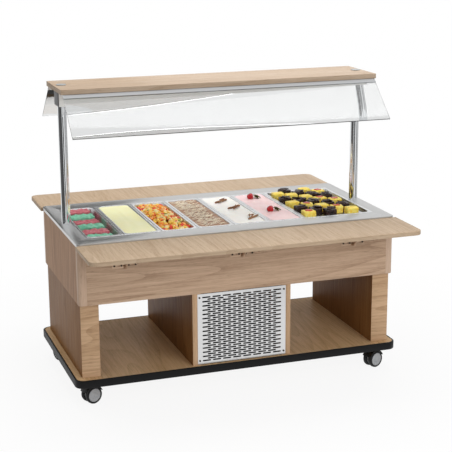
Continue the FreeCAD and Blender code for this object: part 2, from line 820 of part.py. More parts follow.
apron_floor_board = block("apron_floor_board", f"{apron_length} - 2 * panel_board",
                          f"{apron_depth} - 2 * panel_board", "panel_board", "0", "0",
                          "apron_bottom_height")
keep("apron_floor", cut("apron_floor", apron_floor_board, *corner_posts, *tail_holes, drain_hole))

drain = new_body("drain_pipe")
drain_end = "(apron_bottom_height - drain_drop)"
pad(drain, circle_outline(drain, "drain_flange_circle", "drain_flange_radius", "drain_x", "drain_y",
                          f"{liner_bottom} - drain_flange_thickness"), "drain_flange_thickness")
pad(drain, circle_outline(drain, "drain_tube_circle", "drain_radius", "drain_x", "drain_y", drain_end),
    f"{liner_bottom} - {drain_end}")
pad(drain, circle_outline(drain, "drain_cap_circle", "drain_cap_radius", "drain_x", "drain_y",
                          f"{drain_end} - drain_cap_height"), "drain_cap_height")
pocket(drain, circle_outline(drain, "drain_bore_circle", "drain_bore_radius", "drain_x", "drain_y",
                             drain_end), f"{liner_bottom} - {drain_end}")
keep("drain_pipe", drain)

# ---- condensing unit in the centre bay ----------------------------------------------------------

tray_outside = block("unit_tray_outside", "unit_tray_width", "unit_tray_depth", "unit_tray_edge", "0", "0",
                     "base_top_height")
tray_inside = block("unit_tray_inside", "unit_tray_width - 2 * unit_tray_sheet",
                    "unit_tray_depth - 2 * unit_tray_sheet", "unit_tray_edge", "0", "0", unit_floor)
keep("unit_tray", cut("unit_tray", tray_outside, tray_inside))


def round_edges(body, name, feature, radius, wanted):
    """Round the edges of the feature for which wanted(edge) holds."""
    doc.recompute()
    chosen = [f"Edge{index}" for index, edge in enumerate(feature.Shape.Edges, start=1) if wanted(edge)]
    fillet = body.newObject("PartDesign::Fillet", name)
    fillet.Base = (feature, chosen)
    bind(fillet, "Radius", radius)
    return fillet


def is_at_height(height):
    level = number(height)
    return lambda edge: abs(edge.BoundBox.ZMin - level) < 0.01 and abs(edge.BoundBox.ZMax - level) < 0.01


dome = new_body("compressor_dome")
dome_bottom = f"({unit_floor} + compressor_foot_height + compressor_plate)"
dome_pad = pad(dome, circle_outline(dome, "dome_circle", "compressor_radius", "0", "compressor_y",
                                    dome_bottom), "compressor_height")
round_edges(dome, "dome_rounding", dome_pad, "compressor_rounding", is_at_height(compressor_top))
compressor_pieces = [dome, block("compressor_base_plate", "compressor_plate_side", "compressor_plate_side",
                                 "compressor_plate", "0", "compressor_y",
                                 f"{unit_floor} + compressor_foot_height")]
for index, (along, across) in enumerate(((-1, -1), (1, -1), (-1, 1), (1, 1))):
    compressor_pieces.append(rod(f"compressor_foot_{index}", "compressor_foot_radius",
                                 "compressor_foot_height", f"{along} * compressor_foot_spacing / 2",
                                 f"compressor_y + {across} * compressor_foot_spacing / 2", unit_floor))
keep("compressor", join("compressor", *compressor_pieces))

# Condenser: a frame filled with upright fins, open from front to back.
condenser = new_body("condenser")
condenser_box = condenser.newObject("PartDesign::AdditiveBox", "condenser_box")
bind(condenser_box, "Length", "condenser_width")
bind(condenser_box, "Width", "condenser_depth")
bind(condenser_box, "Height", "condenser_height")
doc.recompute()
fin_top = "condenser_height - condenser_end_plate"
fin_end = "condenser_end_plate + condenser_fin_gap"
fin_slot = profile_outline(condenser, "fin_slot", "XZ_Plane", [
    ("condenser_end_plate", "condenser_end_plate"),
    (fin_end, "condenser_end_plate"),
    (fin_end, fin_top),
    ("condenser_end_plate", fin_top),
])
fin_cut = condenser.newObject("PartDesign::Pocket", "fin_cut")
fin_cut.Profile = fin_slot
fin_cut.Type = 1
fin_count = int(number("(condenser_width - 2 * condenser_end_plate) / condenser_fin_pitch"))
fin_pattern = condenser.newObject("PartDesign::LinearPattern", "fin_pattern")
fin_pattern.Originals = [fin_cut]
fin_pattern.Direction = (fin_slot, ["H_Axis"])
fin_pattern.Occurrences = fin_count
bind(fin_pattern, "Length", f"condenser_fin_pitch * {fin_count - 1}")
condenser.Tip = fin_pattern
place(condenser, "-condenser_width / 2", "condenser_y - condenser_depth / 2", unit_floor)
keep("condenser", condenser)

# Fan: shroud behind the condenser, motor on a cross bar, five twisted blades on a hub.
shroud_front_y = "(condenser_y + condenser_depth / 2)"
shroud_back_y = f"({shroud_front_y} + shroud_depth)"
fan_z = f"({unit_floor} + condenser_height / 2)"
shroud_y = f"({shroud_front_y} + shroud_depth / 2)"
shroud_outside = block("shroud_outside", "condenser_width", "shroud_depth", "condenser_height", "0",
                       shroud_y, unit_floor)
shroud_inside = block("shroud_inside", "condenser_width - 2 * shroud_sheet", "shroud_depth",
                      "condenser_height - 2 * shroud_sheet", "0", f"{shroud_y} - shroud_sheet",
                      f"{unit_floor} + shroud_sheet")
shroud_opening = rod("shroud_opening", "fan_opening_radius", "shroud_depth", "0", shroud_y, fan_z, "Y")
shroud_box = cut("shroud_box", shroud_outside, shroud_inside, shroud_opening)
motor_bar = block("motor_bar", "condenser_width", "motor_bracket_thickness", "motor_bracket_width", "0",
                  f"{shroud_back_y} + motor_bracket_thickness / 2", f"{fan_z} - motor_bracket_width / 2")
shaft_hole = rod("motor_shaft_hole", "motor_shaft_radius + pipe_hole_clearance", "motor_bracket_thickness",
                 "0", shroud_back_y, fan_z, "Y")
keep("fan_shroud", cut("fan_shroud", join("shroud_with_bar", shroud_box, motor_bar), shaft_hole))

motor_face_y = f"({shroud_back_y} + motor_bracket_thickness)"
hub_back_y = f"({shroud_back_y} - 2 * shroud_sheet)"
shaft_reach = "fan_hub_length - 2 * motor_bracket_thickness"
motor_shaft = rod("motor_shaft", "motor_shaft_radius", f"{motor_face_y} - {hub_back_y} + {shaft_reach}", "0",
                  f"{hub_back_y} - ({shaft_reach})", fan_z, "Y")
motor_can = rod("motor_can", "motor_radius", "motor_length", "0", motor_face_y, fan_z, "Y")
keep("fan_motor", join("fan_motor", motor_can, motor_shaft))

rotor = new_body("fan_rotor")
pad(rotor, circle_outline(rotor, "hub_circle", "fan_hub_radius"), "fan_hub_length")
half_chord = "(fan_blade_chord / 2)"
half_blade = "(fan_blade_thickness / 2)"
blade_corners = ((-1, -1), (1, -1), (1, 1), (-1, 1))
blade_profile = profile_outline(rotor, "blade_profile", "XZ_Plane", [
    (f"{along} * {half_chord} * cos(fan_blade_twist) - {across} * {half_blade} * sin(fan_blade_twist)",
     f"fan_hub_length / 2 + {along} * {half_chord} * sin(fan_blade_twist)"
     f" + {across} * {half_blade} * cos(fan_blade_twist)")
    for along, across in blade_corners])
blade = pad(rotor, blade_profile, "fan_radius")
blade_ring = rotor.newObject("PartDesign::PolarPattern", "blade_ring")
blade_ring.Originals = [blade]
blade_ring.Axis = (origin_feature(rotor, "Z_Axis"), [""])
blade_ring.Angle = 360
blade_ring.Occurrences = FAN_BLADES
rotor.Tip = blade_ring
doc.recompute()
pocket(rotor, circle_outline(rotor, "hub_bore", "motor_shaft_radius + running_clearance",
                             level="motor_bracket_thickness"), "fan_hub_length")
rotor.Placement = FreeCAD.Placement(Vector(), TURN_TO["Y"])
place(rotor, "0", f"{hub_back_y} - fan_hub_length", fan_z)
keep("fan_rotor", rotor)

# Discharge line over the shroud into the condenser, and drier with its line out of the condenser.
condenser_side_x = number("condenser_width / 2")
condenser_mid_y = number("condenser_y")
condenser_top_z = number(f"{unit_floor} + condenser_height")
outlet_z = number(f"{unit_floor} + pipe_outlet_height")
discharge_level = pipe_level - number("discharge_gap")
drier_bottom = f"({drier_top} - drier_length)"
tube_radius = number("refrigerant_tube_radius")
tube_bend = number("refrigerant_bend_radius")
discharge_points = [
    Vector(tail_x, port_y, number(compressor_top)),
    Vector(tail_x, port_y, discharge_level),
    Vector(tail_x, condenser_mid_y, discharge_level),
    Vector(tail_x, condenser_mid_y, condenser_top_z),
]
drier_points = [
    Vector(pipe_side_x, -coil_edge, number(drier_bottom)),
    Vector(pipe_side_x, -coil_edge, outlet_z),
    Vector(pipe_side_x, condenser_mid_y, outlet_z),
    Vector(condenser_side_x, condenser_mid_y, outlet_z),
]
discharge_line = doc.addObject("Part::Feature", "discharge_line")
discharge_line.Shape = bent_tube_shape(discharge_points, tube_radius, [tube_bend] * 2)
liquid_line = doc.addObject("Part::Feature", "liquid_line")
liquid_line.Shape = bent_tube_shape(drier_points, tube_radius, [tube_bend] * 2)
drier = rod("drier", "drier_radius", "drier_length", "(condenser_width + bay_width) / 4",
            "-coil_edge_offset", drier_bottom)
drier_with_line = join("drier_with_line", drier, liquid_line)
keep("refrigerant_lines", group("refrigerant_lines", discharge_line, drier_with_line))

# ---- control panel above the rear grille: knob, rocker switch, power inlet ----------------------

panel_face_y = bay_front_y
panel_back_y = f"({bay_front_y} - grille_sheet)"
control_z = "(apron_bottom_height - grille_side_gap - control_panel_height / 2)"
control_sheet = block("control_sheet", grille_width, "grille_sheet", "control_panel_height", "0",
                      f"({panel_face_y} + {panel_back_y}) / 2", control_panel_bottom)
rocker_window = "(2 * rocker_radius + 2 * rocker_side_gap)"
rocker_slot = block("rocker_slot", "rocker_width + 2 * rocker_side_gap", "rocker_recess_depth + grille_sheet",
                    rocker_window, "rocker_x", f"{panel_face_y} - (rocker_recess_depth + grille_sheet) / 2",
                    f"{control_z} - {rocker_window} / 2")
knob_hole = rod("knob_hole", "knob_shaft_radius + pipe_hole_clearance", "grille_sheet", "knob_x",
                panel_back_y, control_z, "Y")
inlet_window = block("inlet_window", "inlet_width", "grille_sheet", "inlet_height", "inlet_x",
                     f"({panel_face_y} + {panel_back_y}) / 2", f"{control_z} - inlet_height / 2")
keep("control_panel", cut("control_panel", control_sheet, rocker_slot, knob_hole, inlet_window,
                          *all_screw_holes))

rocker_y = f"({panel_back_y} - rocker_pivot_depth)"
control_body = block("control_body", "control_box_length", "control_box_depth", "control_box_height",
                     "control_box_x", f"{panel_back_y} - control_box_depth / 2",
                     f"{control_z} - control_box_height / 2")
knob_bore = rod("knob_bore", "knob_shaft_radius + running_clearance", "knob_bore_depth", "knob_x",
                f"{panel_back_y} - knob_bore_depth", control_z, "Y")
pin_span = "(rocker_width + 2 * rocker_pin_length)"
pin_bore_length = f"({pin_span} + 2 * rocker_side_gap)"
rocker_bore = rod("rocker_bore", "rocker_pin_radius + running_clearance", pin_bore_length,
                  f"rocker_x - {pin_bore_length} / 2", rocker_y, control_z, "X")
keep("control_box", cut("control_box", control_body, rocker_slot, knob_bore, rocker_bore))

rocker_drum = rod("rocker_drum", "rocker_radius", "rocker_width", "rocker_x - rocker_width / 2", rocker_y,
                  control_z, "X")
rocker_depth = "(rocker_radius + rocker_back)"
rocker_bounds = block("rocker_bounds", "rocker_width", rocker_depth, "2 * rocker_half_height", "rocker_x",
                      f"{rocker_y} - rocker_back + {rocker_depth} / 2", f"{control_z} - rocker_half_height")
rocker_paddle = overlap_of("rocker_paddle", rocker_drum, rocker_bounds)
rocker_pins = rod("rocker_pins", "rocker_pin_radius", pin_span, f"rocker_x - {pin_span} / 2", rocker_y,
                  control_z, "X")
keep("light_rocker", join("light_rocker", rocker_paddle, rocker_pins))

knob_cap = rod("knob_cap", "knob_radius", "knob_height", "knob_x", f"{panel_face_y} + knob_panel_gap",
               control_z, "Y")
knob_shaft_length = "(knob_bore_depth + grille_sheet)"
knob_shaft = rod("knob_shaft", "knob_shaft_radius", knob_shaft_length, "knob_x",
                 f"{panel_face_y} + knob_panel_gap - {knob_shaft_length}", control_z, "Y")
knob_mark = block("knob_mark", "knob_mark_width", "knob_mark_depth", "knob_radius", "knob_x",
                  f"{panel_face_y} + knob_panel_gap + knob_height - knob_mark_depth / 2", control_z)
keep("thermostat_knob", cut("thermostat_knob", join("knob_with_shaft", knob_cap, knob_shaft), knob_mark))

inlet_face_y = f"({panel_face_y} + inlet_flange_thickness)"
inlet_body = block("inlet_body", "inlet_width", "inlet_depth", "inlet_height", "inlet_x",
                   f"{inlet_face_y} - inlet_depth / 2", f"{control_z} - inlet_height / 2")
inlet_plate_height = "(inlet_height + inlet_flange)"
inlet_plate = block("inlet_plate", "inlet_width + 2 * inlet_flange", "inlet_flange_thickness",
                    inlet_plate_height, "inlet_x", f"{panel_face_y} + inlet_flange_thickness / 2",
                    f"{control_z} - {inlet_plate_height} / 2")
inlet_hollow = block("inlet_hollow", "inlet_width - 2 * inlet_wall", "inlet_recess",
                     "inlet_height - 2 * inlet_wall", "inlet_x", f"{inlet_face_y} - inlet_recess / 2",
                     f"{control_z} - inlet_height / 2 + inlet_wall")
inlet_shell = cut("inlet_shell", join("inlet_solid", inlet_body, inlet_plate), inlet_hollow)
inlet_pins = [block(f"inlet_pin_{index}", "inlet_pin_thickness", "inlet_pin_length",
                    "2 * inlet_pin_thickness", f"inlet_x + {index - 1} * inlet_pin_spacing",
                    f"{inlet_face_y} - inlet_recess + inlet_pin_length / 2",
                    f"{control_z} - inlet_pin_thickness")
              for index in range(3)]
keep("power_inlet", join("power_inlet", inlet_shell, *inlet_pins))

# ---- canopy: posts, light box, shelf, caps ------------------------------------------------------

shelf_underside = "(shelf_height - shelf_board)"
light_box_top = f"({shelf_underside} - light_box_sheet)"
light_box_bottom = f"({shelf_underside} - light_box_height)"
post_length = f"({light_box_top} - worktop_height)"
bolt_hole_radius = "(post_bolt_radius + post_bolt_clearance)"
bolt_hole = rod("post_bolt_hole", bolt_hole_radius, "shelf_height - worktop_height", "post_x", "0",
                f"{light_box_top} - post_top_plate")
post_outside = rod("post_outside", "post_radius", post_length, "post_x", "0", "worktop_height")
post_bore = rod("post_bore", "post_radius - post_wall", f"{post_length} - post_top_plate", "post_x", "0",
                "worktop_height")
post_right = cut("post_right", post_outside, post_bore, bolt_hole)
keep("canopy_posts", group("canopy_posts", mirrored("post_left", post_right, (1, 0, 0)), post_right))

cap_bolt_length = f"(shelf_height - {light_box_top} + post_top_plate)"
cap_disc = rod("cap_disc", "post_cap_radius", "post_cap_height", "post_x", "0", "shelf_height")
cap_bolt = rod("cap_bolt", "post_bolt_radius", cap_bolt_length, "post_x", "0",
               f"shelf_height - {cap_bolt_length}")
cap_right = join("cap_right", cap_disc, cap_bolt)
keep("post_caps", group("post_caps", mirrored("cap_left", cap_right, (1, 0, 0)), cap_right))

both_bolt_holes = (bolt_hole, mirrored("post_bolt_hole_left", bolt_hole, (1, 0, 0)))
shelf = rounded_board("shelf_plain", "shelf_length", "shelf_depth", "shelf_board", "shelf_corner_radius",
                      shelf_underside)
keep("canopy_shelf", cut("canopy_shelf", shelf, *both_bolt_holes))

housing_length = "(light_box_length - 2 * light_box_end_thickness)"
housing_outside = block("housing_outside", housing_length, "light_box_depth", "light_box_height", "0", "0",
                        light_box_bottom)
housing_inside = block("housing_inside", housing_length, "light_box_depth - 2 * light_box_sheet",
                       "light_box_height - light_box_sheet", "0", "0", light_box_bottom)
keep("light_box_housing", cut("light_box_housing", housing_outside, housing_inside, *both_bolt_holes))

diffuser_half = "(post_x - post_radius - light_box_post_margin)"
diffuser_bottom = f"({light_box_bottom} + diffuser_recess)"
inner_box_depth = "(light_box_depth - 2 * light_box_sheet)"
keep("light_diffuser", block("light_diffuser", f"2 * {diffuser_half}", inner_box_depth,
                             "diffuser_thickness", "0", "0", diffuser_bottom))
end_plate = block("light_box_end_plate", "light_box_end_thickness", "light_box_depth", "light_box_height",
                  "(light_box_length - light_box_end_thickness) / 2", "0", light_box_bottom)
end_shelf_length = f"({housing_length} / 2 - {diffuser_half})"
end_shelf = block("light_box_end_shelf", end_shelf_length, inner_box_depth, "diffuser_thickness",
                  f"{diffuser_half} + {end_shelf_length} / 2", "0", diffuser_bottom)
post_hole = rod("light_box_post_hole", "post_radius + post_bolt_clearance", "diffuser_thickness", "post_x",
                "0", diffuser_bottom)
end_right = cut("light_box_end_right", join("light_box_end_solid", end_plate, end_shelf), post_hole)
end_left = mirrored("light_box_end_left", end_right, (1, 0, 0))
keep("light_box_ends", group("light_box_ends", end_left, end_right))

lamp_z = f"({light_box_top} - lamp_drop)"
lamp = rod("lamp", "lamp_radius", "lamp_length", "-lamp_length / 2", "0", lamp_z, "X")
holder_height = "(lamp_drop + lamp_radius)"
lamp_holders = [block(f"lamp_holder_{end}", "lamp_holder_length", "lamp_holder_width", holder_height,
                      f"{sign} * (lamp_length + lamp_holder_length) / 2", "0",
                      f"{light_box_top} - {holder_height}")
                for end, sign in (("left", -1), ("right", 1))]
keep("lamp_tube", group("lamp_tube", lamp, *lamp_holders))

# ---- sneeze guards: clear sheets leaning outwards below the shelf, each in a folded clamp --------

guard_bottom_y = "(-guard_top_y - guard_width * sin(guard_lean))"
guard_bottom_z = f"({shelf_underside} - guard_top_drop - guard_width * cos(guard_lean))"


def leaning_sheet(name, length, thickness, width, along="0", inward="0"):
    """A sheet parallel to the front guard, moved up along it and inward from its outer face."""
    box = doc.addObject("Part::Box", name)
    box.Placement = FreeCAD.Placement(Vector(), FreeCAD.Rotation(Vector(1, 0, 0), -number("guard_lean")))
    bind(box, "Length", length)
    bind(box, "Width", thickness)
    bind(box, "Height", width)
    y = f"{guard_bottom_y} + ({along}) * sin(guard_lean) + ({inward}) * cos(guard_lean)"
    z = f"{guard_bottom_z} + ({along}) * cos(guard_lean) - ({inward}) * sin(guard_lean)"
    return place(box, f"-({length}) / 2", y, z)


guard_sheet = leaning_sheet("guard_sheet", "guard_length", "guard_thickness", "guard_width")
keep("sneeze_guards", group("sneeze_guards", *both_sides("guard", guard_sheet)))

clamp_body = leaning_sheet("clamp_body", "guard_length", "guard_thickness + 2 * clamp_wall",
                           "2 * clamp_grip", "guard_width - clamp_grip", "-clamp_wall")
clamp_slot = leaning_sheet("clamp_slot", "guard_length", "guard_thickness + 2 * clamp_clearance",
                           "clamp_grip + clamp_clearance", "guard_width - clamp_grip", "-clamp_clearance")
clamp_flange = block("clamp_flange", "guard_length", "clamp_flange", "clamp_wall", "0",
                     "-guard_top_y + clamp_flange / 2", f"{shelf_underside} - clamp_wall")
below_shelf = block("below_shelf", "guard_length", "shelf_depth", "guard_width", "0", "-shelf_depth / 2",
                    f"{shelf_underside} - guard_width")
trimmed_clamp = overlap_of("trimmed_clamp", clamp_body, below_shelf)
clamp = cut("guard_clamp", join("clamp_solid", trimmed_clamp, clamp_flange), clamp_slot)
keep("guard_clamps", group("guard_clamps", *both_sides("guard_clamp", clamp)))

# ---- tray boards and their folding brackets -----------------------------------------------------
# Side view of the front: a leaf on the apron carries the arm under the board at one pin and the strut
# at a lower pin. The strut stands at 45 degrees under the arm and hangs straight down when folded.

board_underside = "(worktop_height - tray_board_drop - tray_board_thickness)"
board_inner_y = "(worktop_depth / 2 + tray_board_edge_gap)"
board_reach = "(tray_board_reach - tray_board_edge_gap)"
hinge_y = f"({apron_depth} / 2 + hinge_offset)"
hinge_z = f"({board_underside} - hinge_drop)"
strut_pivot_z = f"({hinge_z} - strut_pivot_drop)"
stations = {"left": "-bracket_spacing", "middle": "0", "right": "bracket_spacing"}

outer_board = rounded_board("tray_board_outer", "tray_board_length", board_reach, "tray_board_thickness",
                            "tray_board_corner_radius", board_underside,
                            y=f"-({board_inner_y} + {board_reach} / 2)")
inner_board = block("tray_board_inner", "tray_board_length", f"{board_reach} / 2", "tray_board_thickness",
                    "0", f"-({board_inner_y} + {board_reach} / 4)", board_underside)
tray_board = join("tray_board", outer_board, inner_board)
tray_board.Refine = True
front_board, rear_board = both_sides("tray_board", tray_board)
keep("tray_board_front", front_board)
keep("tray_board_rear", rear_board)


def arm(name, x):
    """A channel with its web under the board and its skirts on the hinge pin."""
    length = "(arm_reach + arm_tail)"
    middle_y = f"-({hinge_y} + arm_reach / 2 - arm_tail / 2)"
    depth = "(hinge_drop + arm_skirt)"
    outside = block(f"{name}_outside", "arm_width", length, depth, x, middle_y,
                    f"{board_underside} - {depth}")
    inside = block(f"{name}_inside", "arm_width - 2 * arm_thickness", length, depth, x, middle_y,
                   f"{board_underside} - {depth} - arm_thickness")
    pin_hole = rod(f"{name}_pin_hole", "bracket_pin_radius + running_clearance", "arm_width",
                   f"{x} - arm_width / 2", f"-{hinge_y}", hinge_z, "X")
    return cut(name, outside, inside, pin_hole)


leaf_screw_offsets = (-1.5, -0.5, 0.5, 1.5)
leaf_foot_z = f"({hinge_z} - leaf_foot_drop)"


def leaf(name, x):
    """The fixed plate on the apron, with two pairs of ears and their pins."""
    plate_y = f"-({apron_depth} + leaf_thickness) / 2"
    pieces = [
        block(f"{name}_plate", "leaf_width", "leaf_thickness", "leaf_foot_drop + leaf_head", x, plate_y,
              leaf_foot_z),
        block(f"{name}_foot", "leaf_foot_width", "leaf_thickness", "leaf_foot_height", x, plate_y,
              leaf_foot_z),
        rod(f"{name}_hinge_pin", "bracket_pin_radius", "arm_width + 2 * pin_overhang",
            f"{x} - arm_width / 2 - pin_overhang", f"-{hinge_y}", hinge_z, "X"),
        rod(f"{name}_strut_pin", "bracket_pin_radius", "2 * (ear_gap_half + ear_thickness)",
            f"{x} - ear_gap_half - ear_thickness", f"-{hinge_y}", strut_pivot_z, "X"),
    ]
    for level, pivot_z in (("upper", hinge_z), ("lower", strut_pivot_z)):
        for side, sign in (("left", -1), ("right", 1)):
            ear_x = f"{x} + {sign} * (ear_gap_half + ear_thickness / 2)"
            pieces.append(block(f"{name}_{level}_{side}_ear", "ear_thickness", "hinge_offset",
                                "2 * ear_radius", ear_x, f"-({hinge_y} - hinge_offset / 2)",
                                f"{pivot_z} - ear_radius"))
            pieces.append(rod(f"{name}_{level}_{side}_eye", "ear_radius", "ear_thickness",
                              f"{ear_x} - ear_thickness / 2", f"-{hinge_y}", pivot_z, "X"))
    return join(name, *pieces)


def leaf_screws(name, x):
    """Four screws through the leaf's foot, and the holes that they need."""
    screws = []
    holes = []
    face_y = f"-({apron_depth} / 2 + leaf_thickness)"
    height = f"{leaf_foot_z} + leaf_foot_height - screw_head_radius - leaf_screw_margin"
    for index, offset in enumerate(leaf_screw_offsets):
        screw_place = f"{x} + {offset} * leaf_screw_spacing"
        head = rod(f"{name}_head_{index}", "screw_head_radius", "screw_head_height", screw_place,
                   f"{face_y} - screw_head_height", height, "Y")
        shank = rod(f"{name}_shank_{index}", "screw_radius", "screw_length", screw_place, face_y, height, "Y")
        screws.append(join(f"{name}_screw_{index}", head, shank))
        holes.append(rod(f"{name}_hole_{index}", "screw_radius + screw_hole_clearance",
                         "screw_length + leaf_thickness", screw_place, face_y, height, "Y"))
    return screws, holes


def strut(name, x):
    """A flat bar with round ends, from its pin on the leaf to the underside of the arm."""
    round_radius = "(hinge_drop - arm_thickness - strut_seat_gap)"
    lean = "strut_pivot_drop / cos(45)"
    bar = doc.addObject("Part::Box", f"{name}_bar")
    bar.Placement = FreeCAD.Placement(Vector(), FreeCAD.Rotation(Vector(1, 0, 0), 45))
    bind(bar, "Length", "strut_thickness")
    bind(bar, "Width", f"2 * {round_radius}")
    bind(bar, "Height", lean)
    place(bar, f"{x} - strut_thickness / 2", f"-{hinge_y} - {round_radius} * cos(45)",
          f"{strut_pivot_z} - {round_radius} * sin(45)")
    ends = [
        rod(f"{name}_pivot_end", round_radius, "strut_thickness", f"{x} - strut_thickness / 2",
            f"-{hinge_y}", strut_pivot_z, "X"),
        rod(f"{name}_seat_end", round_radius, "strut_thickness", f"{x} - strut_thickness / 2",
            f"-({hinge_y} + strut_pivot_drop)", hinge_z, "X"),
    ]
    pin_hole = rod(f"{name}_pin_hole", "bracket_pin_radius + running_clearance", "strut_thickness",
                   f"{x} - strut_thickness / 2", f"-{hinge_y}", strut_pivot_z, "X")
    return cut(name, join(f"{name}_solid", bar, *ends), pin_hole)


front_arms = group("arms", *[arm(f"arm_{end}", x) for end, x in stations.items()])
front_leaves = group("leaves", *[leaf(f"leaf_{end}", x) for end, x in stations.items()])
front_struts = group("struts", *[strut(f"strut_{end}", x) for end, x in stations.items()])
leaf_screw_sets = [leaf_screws(f"leaf_{end}", x) for end, x in stations.items()]
front_leaf_screws = group("front_leaf_screws",
                          *[piece for screws, holes in leaf_screw_sets for piece in screws])
front_leaf_holes = group("front_leaf_holes",
                         *[hole for screws, holes in leaf_screw_sets for hole in holes])
all_leaf_holes = both_sides("leaf_holes", front_leaf_holes)
keep("board_arms_front", front_arms)
keep("board_arms_rear", both_sides("board_arms", front_arms)[1])
keep("board_struts_front", front_struts)
keep("board_struts_rear", both_sides("board_struts", front_struts)[1])
all_leaves = group("all_leaves", *both_sides("leaves", front_leaves))
keep("bracket_leaves", cut("bracket_leaves", all_leaves, *all_leaf_holes))

plain_panels = group("plain_panels", long_panel, mirrored("rear_panel", long_panel, (0, 1, 0)),
                     end_panel, mirrored("left_panel", end_panel, (1, 0, 0)))
keep("apron_panels", cut("apron_panels", plain_panels, *all_leaf_holes))
keep("panel_screws", group("panel_screws", left_screw_group, right_screw_group,
                           *both_sides("leaf_screws", front_leaf_screws)))

# ---- castors: fixed plate and pin, swivelling housing, two wheels on one axle -------------------

castor_x = "(base_length / 2 - castor_inset_x)"
castor_y = "(base_depth / 2 - castor_inset_y)"
castor_signs = {
    "front_left": (-1, -1),
    "front_right": (1, -1),
    "rear_left": (-1, 1),
    "rear_right": (1, 1),
}
plate_bottom = f"({base_bottom} - castor_plate_thickness)"
hub_top = f"({plate_bottom} - castor_swivel_gap)"
hub_bottom = f"({hub_top} - castor_hub_height)"
wheel_start = "(castor_web / 2 + wheel_side_gap)"
castor_width = f"(2 * ({wheel_start} + wheel_width))"
hood_inner = "(wheel_radius + castor_hood_gap)"
hood_outer = f"({hood_inner} + castor_hood_thickness)"


def castor_plate(name, x, y):
    plate = block(f"{name}_plate", "castor_plate_side", "castor_plate_side", "castor_plate_thickness", x, y,
                  plate_bottom)
    pin = rod(f"{name}_pin", "castor_pin_radius", "castor_pin_length", x, y,
              f"{plate_bottom} - castor_pin_length")
    return join(name, plate, pin)


def castor_housing(name, x, y, heading):
    """Drawn about its own swivel axis with the wheels trailing along +X, then turned to its heading."""
    body = new_body(name)
    hood_level = f"-{castor_width} / 2"
    pad(body, circle_outline(body, f"{name}_hood_outside", hood_outer, "castor_trail", "wheel_radius",
                             hood_level, "XZ_Plane"), castor_width)
    pocket(body, circle_outline(body, f"{name}_hood_inside", hood_inner, "castor_trail", "wheel_radius",
                                hood_level, "XZ_Plane"), castor_width)
    open_middle_z = f"wheel_radius + castor_hub_radius - {hood_outer}"
    below_hood = rounded_outline(body, f"{name}_below_hood", f"3 * {hood_outer}", f"2 * {hood_outer}",
                                 "castor_hood_gap", "castor_trail", open_middle_z, hood_level, "XZ_Plane")
    pocket(body, below_hood, castor_width)
    web = profile_outline(body, f"{name}_web", "XZ_Plane", [
        ("-castor_hub_radius", f"{hub_bottom} + castor_foot"),
        ("-castor_hub_radius", hub_bottom),
        ("castor_trail - castor_foot", "wheel_radius"),
        ("castor_trail", "wheel_radius - castor_foot"),
        ("castor_trail + castor_foot", "wheel_radius"),
        ("castor_trail + castor_foot", f"{hub_bottom} - castor_foot / 2"),
        ("castor_hub_radius", f"{hub_bottom} + castor_foot"),
    ], "-castor_web / 2")
    pad(body, web, "castor_web")
    pad(body, circle_outline(body, f"{name}_axle", "castor_axle_radius", "castor_trail", "wheel_radius",
                             hood_level, "XZ_Plane"), castor_width)
    pad(body, circle_outline(body, f"{name}_hub", "castor_hub_radius", level=hub_bottom), "castor_hub_height")
    bore_bottom = f"{plate_bottom} - castor_pin_length - castor_pin_end_gap"
    pocket(body, circle_outline(body, f"{name}_bore", "castor_pin_radius + running_clearance",
                                level=bore_bottom), "castor_pin_length + castor_pin_end_gap")
    body.Placement = FreeCAD.Placement(Vector(), FreeCAD.Rotation(Vector(0, 0, 1), heading))
    return place(body, x, y, "0")


def castor_wheel(name, x, y, heading, side):
    """Turned about its own axle; the outer face has a shallow dish between rim and hub."""
    body = new_body(name)
    wheel_end = f"({wheel_start} + wheel_width)"
    bore = "castor_axle_radius + running_clearance"
    profile = profile_outline(body, f"{name}_profile", "XZ_Plane", [
        (bore, wheel_start),
        ("wheel_radius - wheel_shoulder", wheel_start),
        ("wheel_radius", f"{wheel_start} + wheel_shoulder"),
        ("wheel_radius", f"{wheel_end} - wheel_shoulder"),
        ("wheel_radius - wheel_shoulder", wheel_end),
        ("wheel_disc_radius", wheel_end),
        ("wheel_disc_radius - wheel_dish", f"{wheel_end} - wheel_dish"),
        ("wheel_hub_radius + wheel_dish", f"{wheel_end} - wheel_dish"),
        ("wheel_hub_radius", wheel_end),
        (bore, wheel_end),
    ])
    turned(body, profile, "Z_Axis")
    facing = heading if side > 0 else heading + 180
    turn = FreeCAD.Rotation(Vector(0, 0, 1), facing).multiply(TURN_TO["Y"])
    body.Placement = FreeCAD.Placement(Vector(), turn)
    return place(body, f"{x} + castor_trail * cos({heading})", f"{y} + castor_trail * sin({heading})",
                 "wheel_radius")


castor_plates = []
for corner, (along, across) in castor_signs.items():
    x = f"({along} * {castor_x})"
    y = f"({across} * {castor_y})"
    heading = CASTOR_HEADINGS[corner]
    castor_plates.append(castor_plate(f"castor_plate_{corner}", x, y))
    keep(f"castor_housing_{corner}", castor_housing(f"castor_housing_{corner}", x, y, heading))
    pair = [castor_wheel(f"castor_wheel_{corner}_{name}", x, y, heading, side)
            for name, side in (("a", 1), ("b", -1))]
    keep(f"castor_wheels_{corner}", group(f"castor_wheels_{corner}", *pair))
keep("castor_plates", group("castor_plates", *castor_plates))

# ---- food pans: six narrow ones and one wide flat tray, hung by their rims -----------------------


